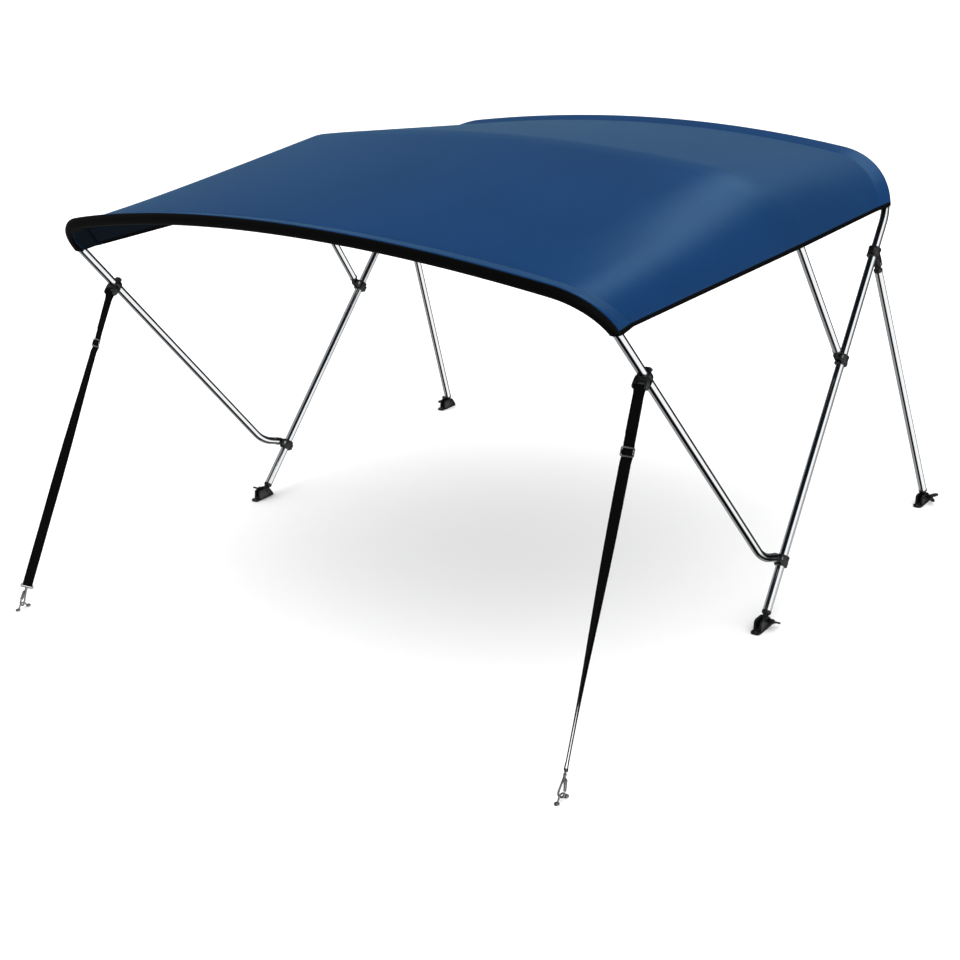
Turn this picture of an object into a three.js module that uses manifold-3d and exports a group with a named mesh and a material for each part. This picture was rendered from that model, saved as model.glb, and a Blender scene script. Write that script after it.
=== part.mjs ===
import * as THREE from 'three';
import { mergeVertices } from 'three/addons/utils/BufferGeometryUtils.js';
import Module from 'manifold-3d';

// Bimini top: a cloth canopy stretched over three folding tube bows. Millimetres, +Z up.
// X runs across, -Y is the front, where the two webbing straps pull down, and z = 0 is the deck.
// Every piece on the left is the mirror of the one on the right.

const DEGREE = Math.PI / 180;
const GAP = 0.3;

// Frame tube, 7/8 inch, and where it begins above the pin of its eye end.
const TUBE_RADIUS = 11.1;
const TUBE_SIDES = 12;
const TUBE_START = 24;
const SHORTEST_RUN = 5;

// Main bow: from the front deck hinges up and back to the rear edge of the canopy.
// Lean is measured from the deck, taper is how far each leg leans in, crown is the half angle
// of the top arch, and straight and edge are distances up the leg from the pin.
const MAIN_PIN = new THREE.Vector3(857, 12, 20);
const MAIN_BOW = { lean: 48.8, taper: 2.6, straight: 1127, corner: 220, crown: 9.4, edge: 1175 };

// Jaw slides on the main bow, by distance from its pin, and the pin each one carries:
// reach is measured off the tube's axis, towards the front or the rear, and drop down the tube.
const SLIDES = [
  { name: 'front', distance: 158, facing: -1, reach: 26, drop: 0 },
  { name: 'middle', distance: 722, facing: -1, reach: 26, drop: 0 },
  { name: 'rear', distance: 1040, facing: 1, reach: 40, drop: 12 },
];

// Middle bow, from its slide up and forward to the middle of the canopy.
const MIDDLE_BOW = { lean: 57.2, taper: 2.4, straight: 385, corner: 249, crown: 9.7, edge: 396 };

// Front bow. Its legs run through LEG_POINT, and near the foot each one bends to a flatter run.
const LEG_POINT = { y: -78, z: 293 };
const FOOT_BEND = { radius: 150, footLean: 20, steps: 5 };
const FRONT_BOW = { lean: 50.1, taper: 1.7, straight: 811, corner: 138, crown: 15, edge: 813 };

// Rear support poles, from the rear slides down to the rear deck hinges.
const REAR_PIN = new THREE.Vector3(880, 980, 20);

// Canopy cloth: sheet thickness, how closely it goes round a tube, and how far the pocket's seam
// lies from the bow. The sheet pulls on that seam in line with the tube's axis, so the pocket's
// upper layer rises from it to the top of the roll. Wraps are angles round a roll from its top.
const CLOTH_THICKNESS = 1.5;
const CLOTH_INSIDE = TUBE_RADIUS + 1.05;
const CLOTH_MIDDLE = CLOTH_INSIDE + CLOTH_THICKNESS / 2;
const CLOTH_OUTSIDE = CLOTH_INSIDE + CLOTH_THICKNESS;
const POCKET_DEPTH = 48;
const FRONT_WRAP = [165, 140, 115, 90, 66, 42, 21, 2];
const REAR_WRAP = [8, 36, 64, 92, 120, 148, 172];

// Black facing round the front of the front roll, and black binding on the side edges.
const FACING_THICKNESS = 1.2;
const FACING_GAP = 0.35;
const FACING_WRAP = [165, 140, 115, 90, 66, 42, 21];
const BINDING_WIDTH = 13;
const SIDE_GAP = 0.65;
const BINDING_THICKNESS = 2.1;
const BINDING_FRONT = 16;

// Places along each half of the canopy where a section is taken, 0 at the crown, 1 at the side.
const SHARES = [0, 0.13, 0.26, 0.39, 0.5, 0.58, 0.64, 0.7, 0.76, 0.81, 0.86, 0.91, 0.96, 1];

// Straps: webbing, the sliding bracket that holds it, the adjuster and the snap hook.
const WEBBING = { width: 25.4, thickness: 1.3 };
const STRAP_SLIDE = { distance: 660, reach: 26, barRadius: 3 };
const ADJUSTER = {
  below: 140, width: 32, height: 22, corner: 4, bar: 3.3, thickness: 2.2, slotWidth: 27.4,
};
const TAIL_END = 102;
const TWIST = { upper: 8, lower: -57, turned: 0.1, start: 0.2, end: 0.92 };
const ARCH_TOP = new THREE.Vector3(868, -919, 17);
const HOOK_LENGTH = 50.4;

// Material colours, roughness and metalness as the photograph shows them.
const MATERIALS = {
  cloth: { color: 0x1a4576, roughness: 0.75, metalness: 0 },
  facing: { color: 0x101012, roughness: 0.6, metalness: 0 },
  webbing: { color: 0x0d0d0e, roughness: 0.85, metalness: 0 },
  tube: { color: 0xe2e4e6, roughness: 0.12, metalness: 1 },
  nylon: { color: 0x16171a, roughness: 0.5, metalness: 0 },
  steel: { color: 0xb9bbbd, roughness: 0.28, metalness: 1 },
};

const wasm = await Module();
wasm.setup();

const biminiTop = new THREE.Group();

function add(name, geometry, materialName) {
  const mesh = new THREE.Mesh(geometry, new THREE.MeshStandardMaterial(MATERIALS[materialName]));
  mesh.name = name;
  biminiTop.add(mesh);
  return mesh;
}

// Stands a mesh at an origin with its local Z along zAxis and its local X as near as can be to xAxis.
function place(mesh, origin, xAxis, zAxis) {
  const z = zAxis.clone().normalize();
  const x = xAxis.clone().addScaledVector(z, -xAxis.dot(z)).normalize();
  const y = new THREE.Vector3().crossVectors(z, x);
  mesh.quaternion.setFromRotationMatrix(new THREE.Matrix4().makeBasis(x, y, z));
  mesh.position.copy(origin);
}

function toSolid(geometry) {
  const bare = geometry.clone();
  bare.deleteAttribute('normal');
  bare.deleteAttribute('uv');
  const merged = mergeVertices(bare, 1e-4);
  return new wasm.Manifold(new wasm.Mesh({
    numProp: 3,
    vertProperties: merged.attributes.position.array,
    triVerts: Uint32Array.from(merged.index.array),
  }));
}

function toGeometry(solid) {
  const mesh = solid.getMesh();
  const geometry = new THREE.BufferGeometry();
  geometry.setAttribute('position', new THREE.BufferAttribute(mesh.vertProperties, 3));
  geometry.setIndex(new THREE.BufferAttribute(mesh.triVerts, 1));
  return geometry;
}

function join(...geometries) {
  return geometries.map(toSolid).reduce((sum, part) => sum.add(part));
}

function cut(solid, ...geometries) {
  return geometries.map(toSolid).reduce((rest, part) => rest.subtract(part), solid);
}

// Cylinder about one of the axes, from one coordinate to another.
function rod(axis, radius, from, to, sides = 16) {
  const geometry = new THREE.CylinderGeometry(radius, radius, to - from, sides);
  geometry.translate(0, (from + to) / 2, 0);
  if (axis === 'x') geometry.rotateZ(-Math.PI / 2);
  if (axis === 'z') geometry.rotateX(Math.PI / 2);
  return geometry;
}

function block(xFrom, xTo, yFrom, yTo, zFrom, zTo) {
  const geometry = new THREE.BoxGeometry(xTo - xFrom, yTo - yFrom, zTo - zFrom);
  geometry.translate((xFrom + xTo) / 2, (yFrom + yTo) / 2, (zFrom + zTo) / 2);
  return geometry;
}

// Plate in the YZ plane, its outline drawn as (y, z), between two x coordinates.
function sidePlate(shape, xFrom, xTo, curveSegments = 3) {
  const geometry = new THREE.ExtrudeGeometry(shape, {
    depth: xTo - xFrom,
    bevelEnabled: false,
    curveSegments,
  });
  geometry.applyMatrix4(new THREE.Matrix4().set(
    0, 0, 1, xFrom,
    1, 0, 0, 0,
    0, 1, 0, 0,
    0, 0, 0, 1,
  ));
  return geometry;
}

// Plate in the XZ plane, its outline drawn as (x, z), centred on y = 0.
function facePlate(shape, thickness, curveSegments = 2) {
  const geometry = new THREE.ExtrudeGeometry(shape, {
    depth: thickness,
    bevelEnabled: false,
    curveSegments,
  });
  geometry.applyMatrix4(new THREE.Matrix4().set(
    1, 0, 0, 0,
    0, 0, -1, thickness / 2,
    0, 1, 0, 0,
    0, 0, 0, 1,
  ));
  return geometry;
}

function roundedRectangle(path, xFrom, xTo, yFrom, yTo, radius) {
  path.moveTo(xFrom + radius, yFrom);
  path.lineTo(xTo - radius, yFrom);
  path.absarc(xTo - radius, yFrom + radius, radius, -Math.PI / 2, 0);
  path.lineTo(xTo, yTo - radius);
  path.absarc(xTo - radius, yTo - radius, radius, 0, Math.PI / 2);
  path.lineTo(xFrom + radius, yTo);
  path.absarc(xFrom + radius, yTo - radius, radius, Math.PI / 2, Math.PI);
  path.lineTo(xFrom, yFrom + radius);
  path.absarc(xFrom + radius, yFrom + radius, radius, Math.PI, Math.PI * 1.5);
  return path;
}

// A path given by its own points and tangents, so that a tube's rings stand exactly on them.
class Centreline extends THREE.Curve {
  constructor(nodes) {
    super();
    this.nodes = nodes;
  }

  nodeAt(share) {
    return this.nodes[Math.round(share * (this.nodes.length - 1))];
  }

  getPoint(share) {
    return this.nodeAt(share).point.clone();
  }

  getPointAt(share) {
    return this.getPoint(share);
  }

  getTangentAt(share) {
    return this.nodeAt(share).tangent.clone().normalize();
  }

  getSpacedPoints() {
    return this.nodes.map((node) => node.point.clone());
  }
}

function tubeAlong(nodes, radius, sides) {
  const circle = new THREE.Shape();
  circle.absarc(0, 0, radius, 0, Math.PI * 2);
  return new THREE.ExtrudeGeometry(circle, {
    steps: nodes.length - 1,
    extrudePath: new Centreline(nodes),
    curveSegments: sides / 2,
  });
}

// Tangents for a list of points on a smooth path.
function withTangents(points) {
  return points.map((point, index) => {
    const before = points[Math.max(index - 1, 0)];
    const after = points[Math.min(index + 1, points.length - 1)];
    const incoming = new THREE.Vector3().subVectors(point, before).normalize();
    const outgoing = new THREE.Vector3().subVectors(after, point).normalize();
    return { point, tangent: incoming.add(outgoing) };
  });
}

// Closed sheet from sections. Each section has as many outer points as inner ones.
function sheet(sections) {
  const count = sections[0].outer.length;
  const points = sections.flatMap((section) => [...section.outer, ...section.inner]);
  const outer = (row, column) => row * 2 * count + column;
  const inner = (row, column) => outer(row, column) + count;
  const index = [];
  const quad = (a, b, c, d) => index.push(a, b, c, a, c, d);
  for (let row = 0; row < sections.length - 1; row += 1) {
    for (let column = 0; column < count - 1; column += 1) {
      const next = column + 1;
      quad(outer(row, column), outer(row, next), outer(row + 1, next), outer(row + 1, column));
      quad(inner(row, column), inner(row + 1, column), inner(row + 1, next), inner(row, next));
    }
    quad(inner(row, 0), outer(row, 0), outer(row + 1, 0), inner(row + 1, 0));
    const end = count - 1;
    quad(outer(row, end), inner(row, end), inner(row + 1, end), outer(row + 1, end));
  }
  const last = sections.length - 1;
  for (let column = 0; column < count - 1; column += 1) {
    const next = column + 1;
    quad(outer(0, next), outer(0, column), inner(0, column), inner(0, next));
    quad(outer(last, column), outer(last, next), inner(last, next), inner(last, column));
  }
  const geometry = new THREE.BufferGeometry().setFromPoints(points);
  geometry.setIndex(volume(points, index) < 0 ? index.reverse() : index);
  return geometry;
}

function volume(points, index) {
  let sum = 0;
  for (let corner = 0; corner < index.length; corner += 3) {
    const [a, b, c] = [0, 1, 2].map((offset) => points[index[corner + offset]]);
    sum += a.dot(new THREE.Vector3().crossVectors(b, c)) / 6;
  }
  return sum;
}

// A bow lies in a plane through the X direction that leans to the front or the rear.
// Distances along it are measured from its crown.
class Bow {
  constructor(origin, facing, { lean, taper, straight, corner, crown, edge }) {
    this.origin = origin;
    this.up = new THREE.Vector3(0, facing * Math.cos(lean * DEGREE), Math.sin(lean * DEGREE));
    this.taper = taper * DEGREE;
    this.crown = crown * DEGREE;
    this.corner = corner;
    this.straight = straight;
    const side = origin.x - straight * Math.tan(this.taper);
    this.cornerX = side - corner * Math.cos(this.taper);
    this.cornerS = straight - corner * Math.sin(this.taper);
    this.crownRadius = (this.cornerX + corner * Math.sin(this.crown)) / Math.sin(this.crown);
    this.crownS = this.cornerS + (corner - this.crownRadius) * Math.cos(this.crown);
    this.crownLength = this.crownRadius * this.crown;
    this.cornerLength = corner * (Math.PI / 2 - this.taper - this.crown);
    this.clothHalf = this.distanceAt(edge);
  }

  // Distance from the crown to the place whose height up the lean is s, on the corner or the leg.
  distanceAt(s) {
    if (s <= this.straight) {
      return this.crownLength + this.cornerLength + (this.straight - s) / Math.cos(this.taper);
    }
    const turn = Math.acos((s - this.cornerS) / this.corner);
    return this.crownLength + this.corner * (turn - this.crown);
  }

  // Point, tangent towards the foot and outward normal, on the right side (1) or the left (-1).
  at(distance, side) {
    let x;
    let s;
    let turn;
    if (distance <= this.crownLength) {
      turn = distance / this.crownRadius;
      x = this.crownRadius * Math.sin(turn);
      s = this.crownS + this.crownRadius * Math.cos(turn);
    } else {
      const beyond = distance - this.crownLength;
      turn = this.crown + Math.min(beyond, this.cornerLength) / this.corner;
      const down = Math.max(beyond - this.cornerLength, 0);
      x = this.cornerX + this.corner * Math.sin(turn) + down * Math.cos(turn);
      s = this.cornerS + this.corner * Math.cos(turn) - down * Math.sin(turn);
    }
    const build = (across, along) => this.up.clone().multiplyScalar(along).setX(side * across);
    return {
      point: build(x, s).add(new THREE.Vector3(0, this.origin.y, this.origin.z)),
      tangent: build(Math.cos(turn), -Math.sin(turn)),
      normal: build(Math.sin(turn), Math.cos(turn)),
    };
  }

  // Distances where the tube has a ring: at the cloth's own sections and at the leg's top.
  ringDistances() {
    const half = this.clothHalf - BINDING_WIDTH - SIDE_GAP;
    const legTop = this.crownLength + this.cornerLength;
    const rings = [...SHARES.map((share) => share * half), this.clothHalf];
    return legTop > this.clothHalf + SHORTEST_RUN ? [...rings, legTop] : rings;
  }

  // The whole centre line, from the right foot over the crown to the left foot.
  // The foot nodes are those of one leg below the canopy, the lowest first.
  centreline(footNodes) {
    const half = [...footNodes, ...this.ringDistances().reverse().map((d) => this.at(d, 1))];
    const mirrored = half.slice(0, -1).reverse().map(({ point, tangent }) => ({
      point: new THREE.Vector3(-point.x, point.y, point.z),
      tangent: new THREE.Vector3(-tangent.x, tangent.y, tangent.z),
    }));
    const rising = half.map(({ point, tangent }) => ({ point, tangent: tangent.clone().negate() }));
    return [...rising, ...mirrored];
  }
}

const OUTWARD = new THREE.Vector3(1, 0, 0);

function mirrored(vector, side) {
  return new THREE.Vector3(vector.x * side, vector.y, vector.z);
}

const SIDES = [{ side: 1, tag: 'right' }, { side: -1, tag: 'left' }];

// Main bow and its slides.
const mainBow = new Bow(MAIN_PIN, 1, MAIN_BOW);
const mainUp = mainBow.up.clone().multiplyScalar(Math.cos(mainBow.taper));
mainUp.x = -Math.sin(mainBow.taper);
const acrossMain = new THREE.Vector3(0, mainBow.up.z, -mainBow.up.y);

const slides = SLIDES.map((slide) => {
  const centre = MAIN_PIN.clone().addScaledVector(mainUp, slide.distance);
  const jaw = acrossMain.clone().multiplyScalar(slide.facing);
  const pin = centre.clone().addScaledVector(jaw, slide.reach).addScaledVector(mainUp, -slide.drop);
  return { ...slide, centre, jaw, pin };
});
const [frontSlide, middleSlide, rearSlide] = slides;

const middleBow = new Bow(middleSlide.pin, -1, MIDDLE_BOW);

// The front bow's leg meets its foot bend so that the bend ends at the front slide's pin.
const frontLean = FRONT_BOW.lean * DEGREE;
const footLean = FOOT_BEND.footLean * DEGREE;
const bendRun = FOOT_BEND.radius * (Math.sin(frontLean) - Math.sin(footLean));
const bendRise = FOOT_BEND.radius * (Math.cos(footLean) - Math.cos(frontLean));
const footLine = new THREE.Vector2(-Math.cos(footLean), Math.sin(footLean));
const offLeg = new THREE.Vector2(Math.sin(frontLean), Math.cos(frontLean));
const pinToLeg = new THREE.Vector2(frontSlide.pin.y - LEG_POINT.y, frontSlide.pin.z - LEG_POINT.z);
const bendShift = new THREE.Vector2(-bendRun, bendRise);
const footStraight = -(pinToLeg.dot(offLeg) + bendShift.dot(offLeg)) / footLine.dot(offLeg);
const bendLength = FOOT_BEND.radius * (frontLean - footLean);
const bendTop = new THREE.Vector2(frontSlide.pin.y, frontSlide.pin.z)
  .addScaledVector(footLine, footStraight)
  .add(bendShift);
const bendToLegPoint = Math.hypot(bendTop.x - LEG_POINT.y, bendTop.y - LEG_POINT.z);
const frontTaper = Math.tan(FRONT_BOW.taper * DEGREE);
const legPointX = frontSlide.pin.x - frontTaper * (footStraight + bendLength + bendToLegPoint);
const frontBow = new Bow(new THREE.Vector3(legPointX, LEG_POINT.y, LEG_POINT.z), -1, FRONT_BOW);

// The foot of a straight leg: one ring, a little above the pin.
function straightFoot(bow) {
  return [bow.at(bow.distanceAt(TUBE_START), 1)];
}

// The foot of the front bow, from its eye end through the bend to the straight leg.
function bentFoot() {
  const node = (travel, y, z, lean) => ({
    point: new THREE.Vector3(frontSlide.pin.x - frontTaper * travel, y, z),
    tangent: new THREE.Vector3(frontTaper, Math.cos(lean), -Math.sin(lean)),
  });
  const along = (travel) => node(
    travel,
    frontSlide.pin.y + footLine.x * travel,
    frontSlide.pin.z + footLine.y * travel,
    footLean,
  );
  const nodes = [along(TUBE_START)];
  for (let step = 0; step <= FOOT_BEND.steps; step += 1) {
    const lean = footLean + (frontLean - footLean) * (step / FOOT_BEND.steps);
    const start = along(footStraight).point;
    nodes.push(node(
      footStraight + FOOT_BEND.radius * (lean - footLean),
      start.y - FOOT_BEND.radius * (Math.sin(lean) - Math.sin(footLean)),
      start.z + FOOT_BEND.radius * (Math.cos(footLean) - Math.cos(lean)),
      lean,
    ));
  }
  return nodes;
}

function addBowTube(name, bow, footNodes) {
  add(name, tubeAlong(bow.centreline(footNodes), TUBE_RADIUS, TUBE_SIDES), 'tube');
}

addBowTube('main_bow', mainBow, straightFoot(mainBow));
addBowTube('middle_bow', middleBow, straightFoot(middleBow));
addBowTube('front_bow', frontBow, bentFoot());

const poleDown = new THREE.Vector3().subVectors(REAR_PIN, rearSlide.pin);
const poleLength = poleDown.length();
poleDown.normalize();

for (const { side, tag } of SIDES) {
  const pole = add(`rear_pole_${tag}`, rod('z', TUBE_RADIUS, TUBE_START, poleLength - TUBE_START,
    TUBE_SIDES), 'tube');
  place(pole, mirrored(rearSlide.pin, side), OUTWARD, mirrored(poleDown, side));
}

// Eye end: a moulded plug whose collar closes the tube and whose flat tongue takes the pin.
const TONGUE = { radius: 9, thickness: 8, bore: 3.8 };
const COLLAR = { radius: 12, from: 17, to: TUBE_START - GAP };
const PIN_RADIUS = 3;

function eyeEnd() {
  const outline = new THREE.Shape();
  outline.moveTo(TONGUE.radius, COLLAR.from + 1);
  outline.lineTo(-TONGUE.radius, COLLAR.from + 1);
  outline.lineTo(-TONGUE.radius, 0);
  outline.absarc(0, 0, TONGUE.radius, Math.PI, Math.PI * 2);
  const half = TONGUE.thickness / 2;
  const body = join(
    sidePlate(outline, -half, half),
    rod('z', COLLAR.radius, COLLAR.from, COLLAR.to),
  );
  return toGeometry(cut(body, rod('x', TONGUE.bore, -half - 1, half + 1, 12)));
}

const poleUp = poleDown.clone().negate();
const frontFootUp = new THREE.Vector3(-frontTaper, footLine.x, footLine.y);
const middleLegUp = middleBow.at(middleBow.distanceAt(0), 1).tangent.clone().negate();

const EYE_ENDS = [
  { name: 'deck_eye_main', pin: MAIN_PIN, along: mainUp },
  { name: 'deck_eye_rear', pin: REAR_PIN, along: poleUp },
  { name: 'eye_front_bow', pin: frontSlide.pin, along: frontFootUp },
  { name: 'eye_middle_bow', pin: middleSlide.pin, along: middleLegUp },
  { name: 'eye_rear_pole', pin: rearSlide.pin, along: poleDown },
];

for (const { side, tag } of SIDES) {
  for (const { name, pin, along } of EYE_ENDS) {
    place(add(`${name}_${tag}`, eyeEnd(), 'nylon'), mirrored(pin, side), OUTWARD,
      mirrored(along, side));
  }
}

// Jaw slide: a sleeve clamped on the main bow, two cheeks that hold the pin, a clamping boss.
const SLEEVE = { radius: 16.5, half: 14, bore: TUBE_RADIUS + 0.5 };
const CHEEK = { inside: 5.5, thickness: 5, radius: 9.5, rootHalf: 11, bore: 3.6 };
const BOSS = { halfWidth: 7, reach: 24, half: 11 };

function jawSlide(reach, drop) {
  const outline = new THREE.Shape();
  outline.moveTo(0, CHEEK.rootHalf);
  outline.lineTo(0, -CHEEK.rootHalf);
  outline.lineTo(reach, -drop - CHEEK.radius);
  outline.absarc(reach, -drop, CHEEK.radius, -Math.PI / 2, Math.PI / 2);
  const outside = CHEEK.inside + CHEEK.thickness;
  const body = join(
    rod('z', SLEEVE.radius, -SLEEVE.half, SLEEVE.half, 20),
    sidePlate(outline, CHEEK.inside, outside),
    sidePlate(outline, -outside, -CHEEK.inside),
    block(-BOSS.halfWidth, BOSS.halfWidth, -BOSS.reach, 0, -BOSS.half, BOSS.half),
  );
  return toGeometry(cut(
    body,
    rod('z', SLEEVE.bore, -SLEEVE.half - 1, SLEEVE.half + 1, 20),
    rod('x', CHEEK.bore, -outside - 1, outside + 1, 12).translate(0, reach, -drop),
  ));
}

// Jaw pin: a bolt with a round head outboard and a nut inboard.
const BOLT = { head: 5.4, headHeight: 3.2, nut: 5, nutHeight: 4 };

function jawPin() {
  const seat = CHEEK.inside + CHEEK.thickness + GAP;
  return toGeometry(join(
    rod('x', PIN_RADIUS, -seat - 1, seat + 1, 10),
    rod('x', BOLT.head, seat, seat + BOLT.headHeight, 12),
    rod('x', BOLT.nut, -seat - BOLT.nutHeight, -seat, 6),
  ));
}

for (const { side, tag } of SIDES) {
  for (const slide of slides) {
    const { name, centre, jaw, pin, reach, drop } = slide;
    const up = mirrored(mainUp, side);
    const slideMesh = add(`jaw_slide_${name}_${tag}`, jawSlide(reach, drop), 'nylon');
    const across = new THREE.Vector3().crossVectors(jaw, up);
    place(slideMesh, mirrored(centre, side), across, up);
    const pinMesh = add(`jaw_pin_${name}_${tag}`, jawPin(), 'steel');
    const outboard = across.clone().multiplyScalar(Math.sign(across.x) * side);
    place(pinMesh, mirrored(pin, side), outboard, up);
  }
}

// Deck hinge: a base plate with rounded low ends and two cheeks that stand up round the pin and
// slope down to the plate's rear end. The cheeks' outline is drawn as (y, z).
const BASE = { half: 40, halfWidth: 13, corner: 9, thickness: 5, slotHalf: 5.5, slotFloor: 8.5 };
const BASE_SHIFT = 14;
const BASE_CHEEK = { halfWidth: 11.5, top: 31, bore: 3.6 };
const CHEEK_OUTLINE = [
  [-24, 1], [36, 1], [36, 7], [25, 24], [18, BASE_CHEEK.top], [-14, BASE_CHEEK.top], [-21, 27],
];

function deckHinge() {
  const { half, halfWidth, corner } = BASE;
  const footprint = roundedRectangle(new THREE.Shape(), -halfWidth, halfWidth, -half, half, corner);
  const plate = new THREE.ExtrudeGeometry(footprint, {
    depth: BASE.thickness,
    bevelEnabled: false,
    curveSegments: 2,
  });
  const side = new THREE.Shape(CHEEK_OUTLINE.map(([y, z]) => new THREE.Vector2(y, z)));
  const body = join(plate, sidePlate(side, -BASE_CHEEK.halfWidth, BASE_CHEEK.halfWidth));
  const through = halfWidth + 1;
  return toGeometry(cut(
    body,
    block(-BASE.slotHalf, BASE.slotHalf, -half - 1, half + 1, BASE.slotFloor, BASE_CHEEK.top + 1),
    rod('x', BASE_CHEEK.bore, -through, through, 12).translate(0, BASE_SHIFT, MAIN_PIN.z),
  ));
}

// Wing knob: the hinge's thumb screw, with a hub and two ears on its outboard end. The upper
// ear's outline is drawn as (x, z), and turn is how far each knob is wound.
const KNOB = { hub: 6.5, hubFrom: 12, hubTo: 27, ear: 5, stop: 5, stopThickness: 3 };
const EAR_OUTLINE = [
  [14.5, 0], [15.5, 8], [27, 16.5], [31, 18], [37, 17.5], [39, 14], [37, 9], [26, 0],
];
const KNOBS = [
  { name: 'main', pin: MAIN_PIN, turn: 116 },
  { name: 'rear', pin: REAR_PIN, turn: 68 },
];

function wingKnob() {
  const ear = (sign) => facePlate(
    new THREE.Shape(EAR_OUTLINE.map(([x, z]) => new THREE.Vector2(x, sign * z))),
    KNOB.ear,
  );
  const flange = BASE_CHEEK.halfWidth + GAP;
  return toGeometry(join(
    rod('x', PIN_RADIUS, -flange - 1, KNOB.hubTo, 10),
    rod('x', KNOB.stop, -flange - KNOB.stopThickness, -flange, 12),
    rod('x', KNOB.hub, KNOB.hubFrom, KNOB.hubTo, 12),
    ear(1),
    ear(-1),
  ));
}

for (const { side, tag } of SIDES) {
  for (const { name, pin, turn } of KNOBS) {
    const spot = mirrored(pin, side);
    const hinge = add(`deck_hinge_${name}_${tag}`, deckHinge(), 'nylon');
    hinge.position.set(spot.x, spot.y - BASE_SHIFT, 0);
    const knob = add(`wing_knob_${name}_${tag}`, wingKnob(), 'nylon');
    const tilt = turn * DEGREE;
    place(knob, spot, new THREE.Vector3(side, 0, 0), new THREE.Vector3(0, Math.sin(tilt),
      Math.cos(tilt)));
  }
}

// Canopy. At each section the cloth's path lies in the planes square to the three bows, and the
// pockets' seams are cut in line with the panel: skew runs along the panel, and is as long as
// makes it 1 mm off the bow for each millimetre of along.
function clothFrames(distanceOf, side) {
  const [front, middle, main] = [frontBow, middleBow, mainBow].map((bow) => (
    bow.at(distanceOf(bow), side)
  ));
  const facing = (at, from, to) => {
    const run = new THREE.Vector3().subVectors(to.point, from.point);
    const tangent = at.tangent.clone().normalize();
    const along = run.clone().addScaledVector(tangent, -run.dot(tangent)).normalize();
    const skew = run.clone().divideScalar(run.dot(along));
    const out = new THREE.Vector3().crossVectors(tangent, along);
    if (out.dot(at.normal) < 0) out.negate();
    return { centre: at.point, along, skew, out };
  };
  return {
    front: facing(front, front, middle),
    middleFront: facing(middle, front, middle),
    middleRear: facing(middle, middle, main),
    rear: facing(main, middle, main),
  };
}

// Point on the roll round a bow, by its angle from the cloth's own normal.
function onRoll({ centre, along, out }, degrees, radius, sign) {
  const angle = degrees * DEGREE;
  return centre.clone()
    .addScaledVector(out, radius * Math.cos(angle))
    .addScaledVector(along, sign * radius * Math.sin(angle));
}

// The pocket's two layers leave the roll on tangents and meet at the seam, the upper one going
// over into the sheet and the lower one ending just under it.
const bandSlope = Math.asin(CLOTH_MIDDLE / POCKET_DEPTH);
const seamUnder = CLOTH_THICKNESS / 2 + GAP;
const pocketSlope = Math.asin(CLOTH_INSIDE / Math.hypot(POCKET_DEPTH, seamUnder))
  - Math.atan2(seamUnder, POCKET_DEPTH);
const wrapStart = -bandSlope / DEGREE;
const wrapEnd = 180 + pocketSlope / DEGREE;

function seamPoint({ centre, skew, out }, radius, sign) {
  const offset = radius - CLOTH_MIDDLE;
  const distance = (CLOTH_MIDDLE + offset * (1 - Math.cos(bandSlope))) / Math.sin(bandSlope);
  return centre.clone().addScaledVector(skew, -sign * distance).addScaledVector(out, offset);
}

function pocketEnd({ centre, skew, out }, radius, sign) {
  const layer = radius - CLOTH_INSIDE;
  return centre.clone()
    .addScaledVector(skew, -sign * (POCKET_DEPTH + layer * Math.sin(pocketSlope)))
    .addScaledVector(out, -seamUnder - layer * Math.cos(pocketSlope));
}

// The two panels from seam to seam over the middle bow, each with a point halfway.
function panels({ front, middleFront, middleRear, rear }, radius) {
  const crease = middleFront.out.clone().add(middleRear.out).normalize();
  const [before, over, behind] = [middleFront.out, crease, middleRear.out]
    .map((out) => onRoll({ ...middleFront, out }, 0, radius, 1));
  const frontSeam = seamPoint(front, radius, -1);
  const rearSeam = seamPoint(rear, radius, 1);
  return [
    frontSeam,
    frontSeam.clone().lerp(before, 0.5),
    before,
    over,
    behind,
    behind.clone().lerp(rearSeam, 0.5),
    rearSeam,
  ];
}

// One face of the cloth, from the end of the front pocket's lower layer to the rear one's.
function clothFace(frames, radius) {
  const { front, rear } = frames;
  return [
    pocketEnd(front, radius, -1),
    ...[wrapEnd, ...FRONT_WRAP, wrapStart].map((angle) => onRoll(front, angle, radius, -1)),
    ...panels(frames, radius),
    ...[wrapStart, ...REAR_WRAP, wrapEnd].map((angle) => onRoll(rear, angle, radius, 1)),
    pocketEnd(rear, radius, 1),
  ];
}

// Every section of half the canopy, and the same on the other side, in order across it.
function acrossCanopy(makeSection, extra = []) {
  const half = (side) => [
    ...SHARES.map((share) => makeSection(
      (bow) => share * (bow.clothHalf - BINDING_WIDTH - SIDE_GAP),
      side,
    )),
    ...extra.map((distanceOf) => makeSection(distanceOf, side, true)),
  ];
  return [...half(-1).slice(1).reverse(), ...half(1)];
}

add('canopy_cloth', sheet(acrossCanopy((distanceOf, side) => {
  const frames = clothFrames(distanceOf, side);
  return {
    outer: clothFace(frames, CLOTH_OUTSIDE),
    inner: clothFace(frames, CLOTH_INSIDE),
  };
})), 'cloth');

// Front facing, round the outside of the front roll. It ends in line with the canopy's side edges.
const facingInside = CLOTH_OUTSIDE + FACING_GAP;

add('front_facing', sheet(acrossCanopy((distanceOf, side, atEdge = false) => {
  const { front } = clothFrames(distanceOf, side);
  const roll = atEdge ? { ...front, along: front.skew } : front;
  const face = (radius) => FACING_WRAP.map((angle) => onRoll(roll, angle, radius, -1));
  return { outer: face(facingInside + FACING_THICKNESS), inner: face(facingInside) };
}, [(bow) => bow.clothHalf])), 'facing');

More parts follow.
